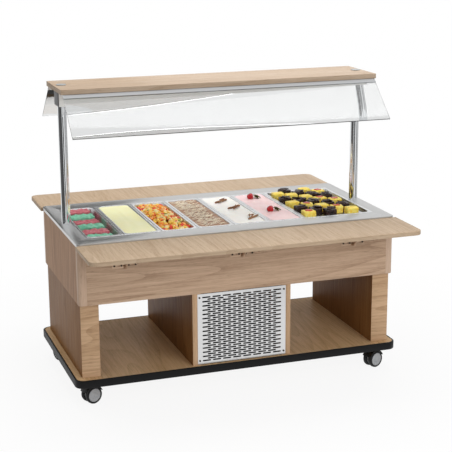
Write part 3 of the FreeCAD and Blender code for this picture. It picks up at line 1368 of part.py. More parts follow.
def food_pan(name, steps, first_step, depth):
    """A pan that takes up a number of pitch steps along the well."""
    body = new_body(name)
    x = f"(({first_step} + {steps} / 2 - {WELL_STEPS} / 2) * pan_pitch)"
    rim_length = f"({steps} * pan_pitch - pan_gap)"
    inner_length = f"({rim_length} - 2 * pan_rim_width)"
    inner_depth = "(pan_length - 2 * pan_rim_width)"
    pan_bottom = f"(worktop_height + pan_rim_thickness - {depth})"
    pad(body, rounded_outline(body, f"{name}_rim", rim_length, "pan_length", "pan_rim_corner", x,
                              level="worktop_height"), "pan_rim_thickness")
    pad(body, rounded_outline(body, f"{name}_outside", f"{inner_length} + 2 * pan_sheet",
                              f"{inner_depth} + 2 * pan_sheet", "pan_corner_radius + pan_sheet", x,
                              level=pan_bottom), depth)
    pocket(body, rounded_outline(body, f"{name}_inside", inner_length, inner_depth, "pan_corner_radius", x,
                                 level=f"{pan_bottom} + pan_sheet"), depth)
    return keep(name, body)


for index in range(SMALL_PANS):
    food_pan(f"food_pan_{index + 1}", 1, index, "pan_depth")
food_pan("food_tray", TRAY_STEPS, SMALL_PANS, "tray_depth")

# ---- check and write ----------------------------------------------------------------------------

doc.recompute()
failed = [item.Label for item in doc.Objects if set(item.State) & {"Invalid", "Error"}]
if failed:
    raise RuntimeError(f"objects that did not recompute: {failed}")
for name, piece in subparts.items():
    if piece.Shape.isNull() or not piece.Shape.isValid() or not piece.Shape.Solids:
        raise RuntimeError(f"{name} has no valid solid")
if len(subparts) > 60:
    raise RuntimeError(f"{len(subparts)} sub-parts")

os.makedirs("parts", exist_ok=True)
for name, piece in subparts.items():
    piece.Shape.exportStep(os.path.join("parts", f"{name}.step"))
    print(name, len(piece.Shape.Solids), round(piece.Shape.Volume / 1000, 1), "cm3")
print(len(subparts), "sub-parts")
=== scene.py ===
import json
import math
import random
from types import SimpleNamespace

import bmesh
import bpy
from mathutils import Matrix, Vector, noise

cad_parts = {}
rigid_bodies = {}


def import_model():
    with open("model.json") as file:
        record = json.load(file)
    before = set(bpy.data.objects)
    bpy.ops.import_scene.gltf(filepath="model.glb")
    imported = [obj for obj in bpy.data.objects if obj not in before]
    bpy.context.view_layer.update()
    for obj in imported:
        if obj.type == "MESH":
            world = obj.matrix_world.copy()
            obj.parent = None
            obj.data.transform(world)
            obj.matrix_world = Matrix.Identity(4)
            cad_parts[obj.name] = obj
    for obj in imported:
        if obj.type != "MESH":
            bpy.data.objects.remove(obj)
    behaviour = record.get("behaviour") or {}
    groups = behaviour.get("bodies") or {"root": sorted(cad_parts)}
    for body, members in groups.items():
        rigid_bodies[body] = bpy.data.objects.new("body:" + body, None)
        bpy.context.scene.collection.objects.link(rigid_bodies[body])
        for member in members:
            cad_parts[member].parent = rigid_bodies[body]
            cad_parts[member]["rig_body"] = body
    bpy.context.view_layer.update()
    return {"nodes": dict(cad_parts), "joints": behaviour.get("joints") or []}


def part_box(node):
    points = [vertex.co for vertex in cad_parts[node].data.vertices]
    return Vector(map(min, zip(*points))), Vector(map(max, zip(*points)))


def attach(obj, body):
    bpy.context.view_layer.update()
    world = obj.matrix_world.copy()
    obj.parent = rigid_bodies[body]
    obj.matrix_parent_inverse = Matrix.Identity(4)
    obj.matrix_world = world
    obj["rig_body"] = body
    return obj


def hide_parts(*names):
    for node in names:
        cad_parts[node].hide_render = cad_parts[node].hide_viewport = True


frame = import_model()
nodes = frame["nodes"]

# ==== Base board and bumper ====
# The board that carries the cabinet is chipboard with a printed oak surface, sawn with round corners.
# The grain of the print runs from front to back. A black extruded strip is pressed round its edge.


def paint(red, green, blue):
    """A colour given as a screen shows it, from 0 to 255, as the shaders want it."""
    shown = [value / 255 for value in (red, green, blue)]
    return tuple(s / 12.92 if s <= 0.04045 else ((s + 0.055) / 1.055) ** 2.4 for s in shown) + (1.0,)


def feed(tree, node, inputs):
    """Gives each named input of a node a plain value or another node's socket."""
    for name, value in inputs.items():
        if isinstance(value, bpy.types.NodeSocket):
            tree.links.new(value, node.inputs[name])
        else:
            node.inputs[name].default_value = value


def add(tree, kind, inputs, **settings):
    node = tree.nodes.new("ShaderNode" + kind)
    for name, value in settings.items():
        setattr(node, name, value)
    feed(tree, node, inputs)
    return node


def calculate(tree, operation, first, second=0.5):
    return add(tree, "Math", {0: first, 1: second}, operation=operation).outputs[0]


def swing(tree, pattern, strength):
    """How far a pattern from 0 to 1 is from its middle, times a strength."""
    return calculate(tree, "MULTIPLY", calculate(tree, "SUBTRACT", pattern, 0.5), strength)


def scaled(tree, position, factor):
    return add(tree, "VectorMath", {0: position, 3: factor}, operation="SCALE").outputs[0]


def stretched(tree, position, along, across):
    """The position, drawn out so that a pattern on it is long along the first axis."""
    return add(tree, "VectorMath", {0: position, 1: (along, across, across)}, operation="MULTIPLY").outputs[0]


def cloud(tree, position, detail, roughness=0.5):
    return add(tree, "TexNoise", {"Vector": position, "Scale": 1.0, "Detail": detail,
                                  "Roughness": roughness}).outputs["Fac"]


def between(tree, value, low, high, to_low=0.0, to_high=1.0):
    return add(tree, "MapRange", {"Value": value, "From Min": low, "From Max": high, "To Min": to_low,
                                  "To Max": to_high}).outputs[0]


def blend_colour(tree, share, first, second, mode="MIX"):
    return add(tree, "Mix", {0: share, 6: first, 7: second}, data_type="RGBA", blend_type=mode).outputs[2]


def new_effect(name, inputs, outputs):
    """An empty shader group with named inputs (None for a position) and outputs, and its two ends."""
    tree = bpy.data.node_groups.new(name, "ShaderNodeTree")
    for socket_name, value in inputs.items():
        kind = {type(None): "Vector", float: "Float", tuple: "Color"}[type(value)]
        socket = tree.interface.new_socket(socket_name, in_out="INPUT", socket_type="NodeSocket" + kind)
        if value is not None:
            socket.default_value = value
    for socket_name in outputs:
        kind = "Color" if socket_name == "Colour" else "Float"
        tree.interface.new_socket(socket_name, in_out="OUTPUT", socket_type="NodeSocket" + kind)
    return tree, tree.nodes.new("NodeGroupInput").outputs, tree.nodes.new("NodeGroupOutput")


def use_effect(tree, effect, inputs):
    group = tree.nodes.new("ShaderNodeGroup")
    group.node_tree = effect
    feed(tree, group, inputs)
    return group.outputs


def new_material(name, **values):
    """A material with its Principled shader; values are set on the shader's own sockets."""
    material = bpy.data.materials.new(name)
    material.use_nodes = True
    shader = material.node_tree.nodes["Principled BSDF"]
    for socket_name, value in values.items():
        shader.inputs[socket_name.replace("_", " ")].default_value = value
    return material, material.node_tree, shader


def bumped(tree, height, strength, distance):
    """The normal of a surface with a relief on it; distance is the depth of the relief in metres."""
    return add(tree, "Bump", {"Strength": strength, "Distance": distance, "Height": height}).outputs[0]


def make_oak_print():
    """Oak as a decor print shows it: growth rings in long arches, streaks, fibres and dark pores."""
    tree, given, out = new_effect("oak print", {
        "Position": None, "Seed": 0.0, "Rings": 26.0, "Figure": 0.3, "Light": paint(203, 183, 160),
        "Dark": paint(160, 134, 108)}, ("Colour", "Roughness", "Relief"))
    moved = scaled(tree, (1.73, 0.41, 0.67), given["Seed"])
    place = add(tree, "VectorMath", {0: given["Position"], 1: moved}, operation="ADD").outputs[0]
    growth = cloud(tree, stretched(tree, place, 0.34, 4.2), 1.0, 0.3)
    ring = calculate(tree, "FRACT", calculate(tree, "MULTIPLY", growth, given["Rings"]))
    late_wood = calculate(tree, "POWER", ring, 3.0)
    fibre = cloud(tree, stretched(tree, place, 8.0, 230.0), 3.0, 0.65)
    streak = cloud(tree, stretched(tree, place, 1.1, 64.0), 2.0, 0.6)
    tone = cloud(tree, stretched(tree, place, 0.4, 6.0), 2.0)
    pores = between(tree, cloud(tree, stretched(tree, place, 30.0, 700.0), 1.0), 0.58, 0.68)
    pores_in_rings = calculate(tree, "MULTIPLY", pores, between(tree, ring, 0.2, 1.0, 0.3, 1.0))
    darkness = calculate(tree, "MULTIPLY", late_wood, given["Figure"])
    for pattern, weight in ((fibre, 1.0), (streak, 0.75), (tone, 0.55)):
        darkness = calculate(tree, "ADD", darkness, swing(tree, pattern, weight))
    mean_darkness, pore_strength, pore_brown = 0.36, 0.4, paint(104, 78, 56)
    share = add(tree, "Math", {0: darkness, 1: mean_darkness}, operation="ADD", use_clamp=True).outputs[0]
    wood = blend_colour(tree, share, given["Light"], given["Dark"])
    pore_share = calculate(tree, "MULTIPLY", pores_in_rings, pore_strength)
    feed(tree, out, {"Colour": blend_colour(tree, pore_share, wood, pore_brown),
                     "Roughness": between(tree, fibre, 0.3, 0.7, 0.38, 0.52),
                     "Relief": calculate(tree, "SUBTRACT", fibre, pores_in_rings)})
    return tree


oak_print = make_oak_print()
GRAIN_FIRST = {"X": ("X", "Y", "Z"), "Y": ("Y", "X", "Z"), "Z": ("Z", "X", "Y")}


def reordered(tree, position, grain):
    """The position with the named axis first, so that the grain runs along it."""
    axes = {index: position[axis] for index, axis in enumerate(GRAIN_FIRST[grain])}
    return add(tree, "CombineXYZ", axes).outputs[0]


def oak_material(name, end_grain, front_grain, top_grain, light, dark, seed, figure=0.3,
                 end_stain=(255, 255, 255)):
    """Printed oak whose grain runs along the named axis on the faces towards X, Y and Z; the faces towards X
    are darkened by a painted shade colour.
    """
    material, tree, shader = new_material(name, Specular_IOR_Level=0.06)
    coordinates = tree.nodes.new("ShaderNodeTexCoord").outputs
    position = add(tree, "SeparateXYZ", {0: coordinates["Object"]}).outputs
    facing = add(tree, "SeparateXYZ", {0: coordinates["Normal"]}).outputs
    place = reordered(tree, position, top_grain)
    half_turned = 0.71
    towards = {}
    for side, grain in (("X", end_grain), ("Y", front_grain)):
        steepness = calculate(tree, "ABSOLUTE", facing[side])
        towards[side] = calculate(tree, "GREATER_THAN", steepness, half_turned)
        other = reordered(tree, position, grain)
        place = add(tree, "Mix", {0: towards[side], 4: place, 5: other}, data_type="VECTOR").outputs[1]
    wood = use_effect(tree, oak_print, {"Position": place, "Seed": seed, "Figure": figure,
                                        "Light": paint(*light), "Dark": paint(*dark)})
    # Painted shade: the faces towards X are multiplied by the side-face shade colour.
    side_shaded = blend_colour(tree, towards["X"], wood["Colour"], paint(*end_stain), "MULTIPLY")
    feed(tree, shader, {"Base Color": side_shaded, "Roughness": wood["Roughness"],
                        "Normal": bumped(tree, wood["Relief"], 0.25, 0.0002)})
    return material


def dress(material, *names):
    """Gives CAD pieces whose shape is right their finish."""
    for name in names:
        nodes[name].data.materials.clear()
        nodes[name].data.materials.append(material)


def new_mesh(name, solid):
    mesh = bpy.data.meshes.new(name)
    solid.to_mesh(mesh)
    solid.free()
    return mesh


def link_piece(name, mesh, material, body, replaced=None):
    """A smooth-shaded piece that moves with a body, and may stand for one of its nodes."""
    piece = bpy.data.objects.new(name, mesh)
    bpy.context.scene.collection.objects.link(piece)
    mesh.materials.append(material)
    mesh.shade_smooth()
    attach(piece, body)
    if replaced:
        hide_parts(replaced)
    return piece


def eased(name, material, radius, segments=2):
    """The CAD solid with its sharp edges rounded off, as a piece that stands for it."""
    solid = bmesh.new()
    solid.from_mesh(nodes[name].data)
    bmesh.ops.remove_doubles(solid, verts=solid.verts, dist=5e-6)
    bmesh.ops.dissolve_limit(solid, angle_limit=math.radians(1), verts=solid.verts, edges=solid.edges)
    mesh = new_mesh(f"{name}_eased", solid)
    piece = link_piece(f"{name}_eased", mesh, material, nodes[name]["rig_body"], name)
    ease = piece.modifiers.new("eased edges", "BEVEL")
    ease.width = radius
    ease.segments = segments
    ease.limit_method = "ANGLE"
    ease.angle_limit = math.radians(40)
    ease.harden_normals = True


dress(oak_material("oak base", "Y", "X", "Y", (224, 191, 148), (178, 143, 102), figure=0.25, seed=3.0),
      "base_board")


def object_position(tree):
    return tree.nodes.new("ShaderNodeTexCoord").outputs["Object"]


def shaded(tree, colour, value):
    """A colour made lighter or darker by a factor."""
    return add(tree, "HueSaturation", {"Hue": 0.5, "Saturation": 1.0, "Value": value, "Fac": 1.0,
                                       "Color": colour}).outputs[0]


def make_speckle():
    """Fine uneven grain of moulded or painted surfaces."""
    tree, given, out = new_effect("speckle", {
        "Position": None, "Grains per metre": 900.0, "Colour": paint(40, 40, 42), "Variation": 0.25,
        "Roughness": 0.5}, ("Colour", "Roughness", "Relief"))
    grain = cloud(tree, scaled(tree, given["Position"], given["Grains per metre"]), 2.0)
    large = cloud(tree, scaled(tree, given["Position"], 9.0), 3.0)
    mixed = calculate(tree, "MULTIPLY", calculate(tree, "ADD", grain, large), 0.5)
    uneven = swing(tree, mixed, given["Variation"])
    value = calculate(tree, "ADD", calculate(tree, "MULTIPLY", uneven, 2.0), 1.0)
    feed(tree, out, {"Colour": shaded(tree, given["Colour"], value), "Relief": grain,
                     "Roughness": calculate(tree, "ADD", given["Roughness"], uneven)})
    return tree


speckle = make_speckle()


def surfaced(tree, shader, effect, strength, distance):
    """Feeds an effect's colour, roughness and relief into the shader."""
    feed(tree, shader, {"Base Color": effect["Colour"], "Roughness": effect["Roughness"],
                        "Normal": bumped(tree, effect["Relief"], strength, distance)})


def grained_material(name, colour, roughness, variation=0.2, grains=900.0, relief=0.00015, strength=0.2,
                     **values):
    """Moulded plastic, rubber or paint with a fine grain."""
    material, tree, shader = new_material(name, **values)
    grain = use_effect(tree, speckle, {
        "Position": object_position(tree), "Grains per metre": grains, "Colour": paint(*colour),
        "Variation": variation, "Roughness": roughness})
    surfaced(tree, shader, grain, strength, relief)
    return material


black_strip = grained_material("black bumper strip", (9, 9, 10), 0.5, Specular_IOR_Level=0.22)
eased("bumper_band", black_strip, 0.0025, 3)

# ==== Pedestals and partitions ====
# Boxes and single boards of oak-print chipboard, screwed down to the base. The print runs upright on
# the broad faces, which are darkened browner as painted shade, and across on the narrow front faces of the
# pedestals.

# The third colour is painted shade, multiplied onto the broad faces towards X.
UPRIGHT_LIGHT, UPRIGHT_DARK, BROAD_FACE_SHADE = (218, 184, 150), (166, 132, 98), (176, 150, 112)
oak_pedestal = oak_material("oak pedestals", "Z", "X", "X", UPRIGHT_LIGHT, UPRIGHT_DARK, seed=7.0,
                            end_stain=BROAD_FACE_SHADE)
eased("pedestals", oak_pedestal, 0.0008)
oak_partition = oak_material("oak partitions", "Z", "Z", "Y", UPRIGHT_LIGHT, UPRIGHT_DARK, seed=9.5,
                             end_stain=BROAD_FACE_SHADE)
eased("partitions", oak_partition, 0.0008)

# ==== Apron ====
# Four deep panels between rounded corner strips whose paler, plainer print is a painted highlight on
# their rounded edges. The long panels carry the print lengthwise, with arched figures; on the ends it runs
# upright, darkened as painted shade. A plain board closes it below.

# Painted shade: the apron's end faces are multiplied by a pale brown side-face shade colour.
oak_apron = oak_material("oak apron", "Z", "X", "X", (215, 186, 160), (157, 128, 104), seed=1.2,
                         end_stain=(228, 208, 188))
dress(oak_apron, "apron_panels", "apron_floor")
# Painted highlight: the corner strips get a paler print with little figure, for the light on their rounded
# edges.
oak_corner = oak_material("oak corner strips", "Z", "Z", "Z", (214, 188, 166), (182, 152, 128), figure=0.12,
                          seed=4.4)
eased("apron_corner_posts", oak_corner, 0.0006)

# ==== Worktop and well ====
# The worktop is 1.5 mm stainless sheet, folded down round the apron and brushed lengthwise. The well's
# walls and floor are welded from the same steel, with foam, a copper coil and a plastic drain below.


def make_brushing():
    """Fine parallel scratches with faint cloudy patches from wiping."""
    tree, given, out = new_effect("brushed metal", {
        "Position": None, "Colour": paint(200, 203, 206), "Roughness": 0.3, "Scratches along": 5.0,
        "Contrast": 0.1}, ("Colour", "Roughness", "Relief"))
    parts = add(tree, "SeparateXYZ", {0: given["Position"]}).outputs
    across = 850.0
    per_metre = {"X": given["Scratches along"], "Y": across, "Z": across}
    drawn = add(tree, "CombineXYZ", {axis: calculate(tree, "MULTIPLY", parts[axis], count)
                                     for axis, count in per_metre.items()}).outputs[0]
    scratch = cloud(tree, drawn, 2.0, 0.6)
    wiped = cloud(tree, scaled(tree, given["Position"], 3.5), 3.0)
    uneven = calculate(tree, "ADD", swing(tree, scratch, given["Contrast"]),
                       swing(tree, wiped, given["Contrast"]))
    feed(tree, out, {"Colour": shaded(tree, given["Colour"], calculate(tree, "ADD", uneven, 1.0)),
                     "Roughness": calculate(tree, "ADD", given["Roughness"], uneven), "Relief": scratch})
    return tree


brushing = make_brushing()


def brushed_material(name, colour, roughness, scratch_along="X", contrast=0.12):
    """Rolled or brushed metal, with the scratches along one axis."""
    material, tree, shader = new_material(name, Metallic=1.0)
    position = add(tree, "SeparateXYZ", {0: object_position(tree)}).outputs
    metal = use_effect(tree, brushing, {
        "Position": reordered(tree, position, scratch_along), "Colour": paint(*colour),
        "Roughness": roughness, "Contrast": contrast})
    surfaced(tree, shader, metal, 0.3, 0.00002)
    return material


eased("worktop", brushed_material("brushed worktop steel", (192, 192, 191), 0.32), 0.0012, 3)
dress(brushed_material("well sheet steel", (205, 207, 208), 0.38, "Y"), "well_walls", "well_floor")
dress(grained_material("cream foam", (214, 200, 150), 0.85, 0.25, 300.0, 0.0006, 0.5), "well_insulation")
dress(brushed_material("drawn copper tube", (190, 122, 88), 0.32, "X", 0.2),
      "evaporator_coil", "refrigerant_lines")
dress(grained_material("grey drain plastic", (150, 152, 154), 0.5), "drain_pipe")

# ==== Food pans ====
# Standard catering pans pressed from 1 mm stainless steel, satin inside, with flat rims that hang on
# the worktop. Six narrow ones stand side by side, then one double-width flat tray.

pan_steel = brushed_material("pressed pan steel", (214, 215, 216), 0.28, "Y", 0.1)
PAN_BODIES = [f"food_pan_{number}" for number in range(1, 7)] + ["food_tray"]
PAN_WALL = 0.001
PAN_RIM = 0.013
PAN_RIM_THICKNESS = 0.0012
PAN_RIM_EDGE = ((0.0, 0.0012), (0.0, 0.0010), (0.0004, 0.0005), (0.0013, 0.00012), (0.0026, 0.0))
PAN_CORNER = 0.022
PAN_RIM_CORNER = 0.006
PAN_FOOT = 0.005
PAN_BASE_ROUND = 0.002


def rounded_ring(solid, centre_x, half_x, half_y, corner, z):
    """One closed ring of points on a rectangle with round corners."""
    corner_steps = 7
    ring = []
    for side_x, side_y, start in ((1, 1, 0), (-1, 1, 90), (-1, -1, 180), (1, -1, 270)):
        for step in range(corner_steps + 1):
            angle = math.radians(start + 90 * step / corner_steps)
            ring.append(solid.verts.new((centre_x + side_x * (half_x - corner) + math.cos(angle) * corner,
                                         side_y * (half_y - corner) + math.sin(angle) * corner, z)))
    return ring


def bridge(solid, lower, upper):
    """Joins two closed rings of as many points by a band of faces."""
    for index in range(len(lower)):
        following = (index + 1) % len(lower)
        solid.faces.new((lower[index], lower[following], upper[following], upper[index]))


def skin(solid, rings):
    """Joins rings of points in turn and closes both ends."""
    for lower, upper in zip(rings, rings[1:]):
        bridge(solid, lower, upper)
    solid.faces.new(rings[0][::-1])
    solid.faces.new(rings[-1])


def finish_mesh(name, solid):
    bmesh.ops.recalc_face_normals(solid, faces=solid.faces)
    return new_mesh(name, solid)


for name in PAN_BODIES:
    low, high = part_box(name)
    centre_x = (low.x + high.x) / 2
    outer_x, outer_y = (high.x - low.x) / 2, (high.y - low.y) / 2
    inner_x, inner_y = outer_x - PAN_RIM, outer_y - PAN_RIM
    floor_top = low.z + PAN_WALL
    outside = ((PAN_WALL - PAN_BASE_ROUND, low.z), (PAN_WALL, low.z + PAN_BASE_ROUND),
               (PAN_WALL, high.z - PAN_RIM_THICKNESS))
    inside = ((0.0022, high.z), (0.0008, high.z - 0.0004), (0.0, high.z - 0.0018),
              (0.0, floor_top + PAN_FOOT), (-0.0014, floor_top + 0.0014), (-PAN_FOOT, floor_top))
    solid = bmesh.new()
    rings = [rounded_ring(solid, centre_x, inner_x + grown, inner_y + grown, PAN_CORNER + grown, z)
             for grown, z in outside]
    rings += [rounded_ring(solid, centre_x, outer_x - inset, outer_y - inset, PAN_RIM_CORNER, high.z - drop)
              for inset, drop in PAN_RIM_EDGE]
    rings += [rounded_ring(solid, centre_x, inner_x + grown, inner_y + grown, PAN_CORNER + grown, z)
              for grown, z in inside]
    skin(solid, rings)
    mesh = finish_mesh(f"{name}_pressed", solid)
    pressed = link_piece(f"{name}_pressed", mesh, pan_steel, name, name)
    pressed.data.set_sharp_from_angle(angle=math.radians(50))

# ==== Pan 1: raspberry and mint blocks ====
# Six crinkled blocks of frozen fruit paste laid across the pan, raspberry and mint by turns from the
# back to the front, against the pan's left wall. The bare steel shows dark beside them.


def pan_inside(name):
    """Where the inside of a pan is: its middle, half width and length, floor and rim."""
    low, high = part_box(name)
    return SimpleNamespace(
        middle_x=(low.x + high.x) / 2, half_x=(high.x - low.x) / 2 - PAN_RIM,
        half_y=(high.y - low.y) / 2 - PAN_RIM, floor=low.z + PAN_WALL, rim=high.z)


def make_mottle():
    """Soft uneven colour and small bumps, as cut or whipped food has."""
    tree, given, out = new_effect("mottled food", {
        "Position": None, "Patches per metre": 60.0, "First": paint(240, 220, 150),
        "Second": paint(230, 200, 130), "Bumps per metre": 400.0}, ("Colour", "Relief"))
    patches = cloud(tree, scaled(tree, given["Position"], given["Patches per metre"]), 3.0, 0.6)
    bumps = cloud(tree, scaled(tree, given["Position"], given["Bumps per metre"]), 3.0, 0.6)
    share = between(tree, patches, 0.32, 0.68)
    feed(tree, out, {"Colour": blend_colour(tree, share, given["First"], given["Second"]), "Relief": bumps})
    return tree


mottle = make_mottle()


def food_material(name, first, second, patches, bumps, relief=0.0006, strength=0.4, **values):
    """Moist food in two mottled colours; relief is in metres."""
    material, tree, shader = new_material(name, **{
        "Roughness": 0.45, "Subsurface_Weight": 0.12, "Subsurface_Radius": (0.008, 0.005, 0.003),
        "Subsurface_Scale": 0.6, **values})
    food = use_effect(tree, mottle, {
        "Position": object_position(tree), "Patches per metre": patches, "Bumps per metre": bumps,
        "First": paint(*first), "Second": paint(*second)})
    feed(tree, shader, {"Base Color": food["Colour"],
                        "Normal": bumped(tree, food["Relief"], strength, relief)})
    return material


def soft_block(solid, size, place, turn, rounding, seed, wobble, steps):
    """Adds a block with rounded edges and uneven faces to a mesh that is being built."""
    half = [side / 2 for side in size]
    shape = Matrix.Translation(place) @ turn
    made = {}

    def point(key):
        if key not in made:
            spot = Vector([(2 * key[axis] / steps - 1) * half[axis] for axis in range(3)])
            core = Vector([max(rounding - half[axis], min(half[axis] - rounding, spot[axis]))
                           for axis in range(3)])
            spot = core + (spot - core).normalized() * rounding
            if wobble:
                spot += noise.noise_vector((spot + Vector((seed, seed * 0.7, 0))) * 60) * wobble
            made[key] = solid.verts.new(shape @ spot)
        return made[key]

    for axis in range(3):
        first, second = (axis + 1) % 3, (axis + 2) % 3
        for side in (0, steps):
            for row in range(steps):
                for column in range(steps):
                    loop = []
                    for across, along in ((0, 0), (1, 0), (1, 1), (0, 1)):
                        key = [0, 0, 0]
                        key[axis], key[first], key[second] = side, column + across, row + along
                        loop.append(point(tuple(key)))
                    solid.faces.new(loop if side else loop[::-1])
    return list(made.values())


BLOCK_WIDTH, BLOCK_DEPTH, LAST_BLOCK_DEPTH, BLOCK_ROUNDING = 0.108, 0.058, 0.044, 0.006
BLOCK_OFF_WALL = 0.0565
BLOCK_Y = (0.207, 0.117, 0.024, -0.066, -0.152, -0.226)
FOOD_OFF_FLOOR = 0.0006
random.seed(11)
noise.seed_set(11)  # or noise_vector would differ from run to run
pan = pan_inside("food_pan_1")
for flavour, light, dark, first in (("raspberry", (214, 128, 134), (168, 62, 80), 0),
                                    ("mint", (150, 214, 184), (84, 172, 136), 1)):
    solid = bmesh.new()
    for index in range(first, len(BLOCK_Y), 2):
        height = pan.rim - pan.floor + 0.001 - 0.002 * (index % 3)
        middle = Vector((pan.middle_x - pan.half_x + BLOCK_OFF_WALL, BLOCK_Y[index],
                         pan.floor + FOOD_OFF_FLOOR + height / 2))
        turn = Matrix.Rotation(random.uniform(-0.03, 0.03), 4, "Z")
        depth = LAST_BLOCK_DEPTH if index == len(BLOCK_Y) - 1 else BLOCK_DEPTH
        size = (BLOCK_WIDTH, depth, height)
        for vert in soft_block(solid, size, middle, turn, BLOCK_ROUNDING, index * 3.1, 0.0, 16):
            top_share = max(0.0, (vert.co.z - middle.z) / (height / 2))
            ripple = math.sin((vert.co.x - pan.middle_x) * 190 + index)
            ripple += 0.7 * math.sin(vert.co.x * 410 + vert.co.y * 60)
            vert.co.z += (ripple * 0.0016 + noise.noise(vert.co * 70) * 0.0035) * top_share ** 2
            vert.co.y += noise.noise(vert.co * 45 + Vector((index, 0, 0))) * 0.003
    paste = food_material(f"{flavour} paste", light, dark, 110.0, 260.0, 0.001, 0.7)
    link_piece(f"{flavour}_blocks", finish_mesh(f"{flavour}_blocks", solid), paste, "food_pan_1")

# ==== Pan 2: vanilla cream ====
# Pale yellow cream, filled to the rim and smoothed off with a spatula in long strokes.


def filling(name, body, material, below_rim, surface, cells=(28, 100)):
    """Food that fills a pan to a little below its rim; surface(x, y) is added to that level."""
    pan = pan_inside(body)
    clearance = 0.0004
    level = pan.rim - below_rim
    half_x, half_y = pan.half_x - clearance, pan.half_y - clearance
    corner = PAN_CORNER - clearance
    solid = bmesh.new()
    columns, rows = cells
    grid = []
    for row in range(rows + 1):
        line = []
        for column in range(columns + 1):
            x = (2 * column / columns - 1) * half_x
            y = (2 * row / rows - 1) * half_y
            p = (abs(x) - half_x + corner) / corner
            q = (abs(y) - half_y + corner) / corner
            if p > 0 and q > 0:
                round_p = p * math.sqrt(1 - q * q / 2)
                round_q = q * math.sqrt(1 - p * p / 2)
                x = math.copysign(half_x - corner + round_p * corner, x)
                y = math.copysign(half_y - corner + round_q * corner, y)
            line.append(solid.verts.new((pan.middle_x + x, y, level + surface(x, y))))
        grid.append(line)
    for row in range(rows):
        for column in range(columns):
            solid.faces.new((grid[row][column], grid[row][column + 1], grid[row + 1][column + 1],
                             grid[row + 1][column]))
    left, right = [line[0] for line in grid], [line[-1] for line in grid]
    border = grid[0][:-1] + right[:-1] + grid[-1][:0:-1] + left[:0:-1]
    skirt = [solid.verts.new((vert.co.x, vert.co.y, pan.floor + PAN_FOOT)) for vert in border]
    shrink_x, shrink_y = 1 - PAN_FOOT / half_x, 1 - PAN_FOOT / half_y
    foot = [solid.verts.new((pan.middle_x + (vert.co.x - pan.middle_x) * shrink_x, vert.co.y * shrink_y,
                             pan.floor + clearance)) for vert in border]
    bridge(solid, border, skirt)
    bridge(solid, skirt, foot)
    solid.faces.new(foot)
    link_piece(name, finish_mesh(name, solid), material, body)


def spatula_strokes(x, y):
    stroke = math.sin(x * 120 + 3 * noise.noise(Vector((x * 20, y * 6, 0)))) * 0.0004
    return stroke + noise.noise(Vector((x * 14, y * 5, 1.0))) * 0.0012 - 0.0012


vanilla = food_material("vanilla cream", (255, 252, 204), (255, 249, 188), 12.0, 60.0, 0.0008, 0.3)
filling("vanilla_cream", "food_pan_2", vanilla, 0.0015, spatula_strokes)

# ==== Pan 3: fruit salad ====
# A heap of fruit cut into cubes of about a centimetre and a half: mostly yellow and orange, some red,
# a little green. It lies in its own juice.

JUICE_BELOW_RIM = 0.014
juice = food_material("fruit juice", (232, 150, 44), (214, 118, 30), 60.0, 200.0, 0.001, 0.4, Roughness=0.2)


def juice_surface(x, y):
    return noise.noise(Vector((x * 40, y * 40, 2.0))) * 0.003


filling("fruit_juice", "food_pan_3", juice, JUICE_BELOW_RIM, juice_surface)
FRUIT = {
    "mango": ((255, 220, 104), (252, 196, 66), 0.38),
    "orange": ((252, 166, 62), (244, 134, 40), 0.28),
    "peach": ((255, 238, 178), (252, 220, 140), 0.17),
    "strawberry": ((234, 84, 54), (214, 52, 42), 0.14),
    "kiwi": ((150, 168, 76), (116, 138, 54), 0.03),
}
FRUIT_CUBES = 330
random.seed(5)
pan = pan_inside("food_pan_3")
fruit_cubes = {kind: bmesh.new() for kind in FRUIT}
for cube in range(FRUIT_CUBES):
    kind = random.choices(list(FRUIT), [share for first, second, share in FRUIT.values()])[0]
    x = random.uniform(-1, 1) * (pan.half_x - 0.010)
    y = random.uniform(-1, 1) * (pan.half_y - 0.010)
    if abs(x) > pan.half_x - 0.024 and abs(y) > pan.half_y - 0.024:
        x *= 0.82
        y *= 0.96
    crown = (1 - (x / pan.half_x) ** 2) * (1 - (y / pan.half_y) ** 4)
    z = pan.rim - JUICE_BELOW_RIM + 0.009 * crown + random.uniform(0, 0.006) * crown
    size = random.uniform(0.012, 0.020)
    turn = Matrix.Rotation(random.uniform(0, math.pi), 4, Vector((random.gauss(0, 1), random.gauss(0, 1), 1)))
    proportions = (size, size * random.uniform(0.75, 1.1), size * random.uniform(0.6, 0.95))
    middle = Vector((pan.middle_x + x, y, z))
    soft_block(fruit_cubes[kind], proportions, middle, turn, 0.0018, cube * 0.37, 0.0008, 3)
for kind, solid in fruit_cubes.items():
    first, second, share = FRUIT[kind]
    flesh = food_material(f"{kind} flesh", first, second, 160.0, 700.0, 0.0004, 0.4, Roughness=0.28)
    link_piece(f"{kind}_cubes", finish_mesh(f"{kind}_cubes", solid), flesh, "food_pan_3")

# ==== Pan 4: chocolate mousse ====
# Brown mousse with a torn, airy surface, strewn with thin pale curls of white chocolate that lie
# slantwise across the pan.

MOUSSE_BELOW_RIM = 0.001
mousse = food_material("chocolate mousse", (196, 162, 136), (158, 120, 96), 70.0, 260.0, 0.0016, 0.8,
                       Roughness=0.6)


def mousse_surface(x, y):
    folds = noise.noise(Vector((x * 30 + y * 16, y * 30, 3.0))) * 0.004
    return folds + noise.noise(Vector((x * 130, y * 130, 4.0))) * 0.0014 - 0.002


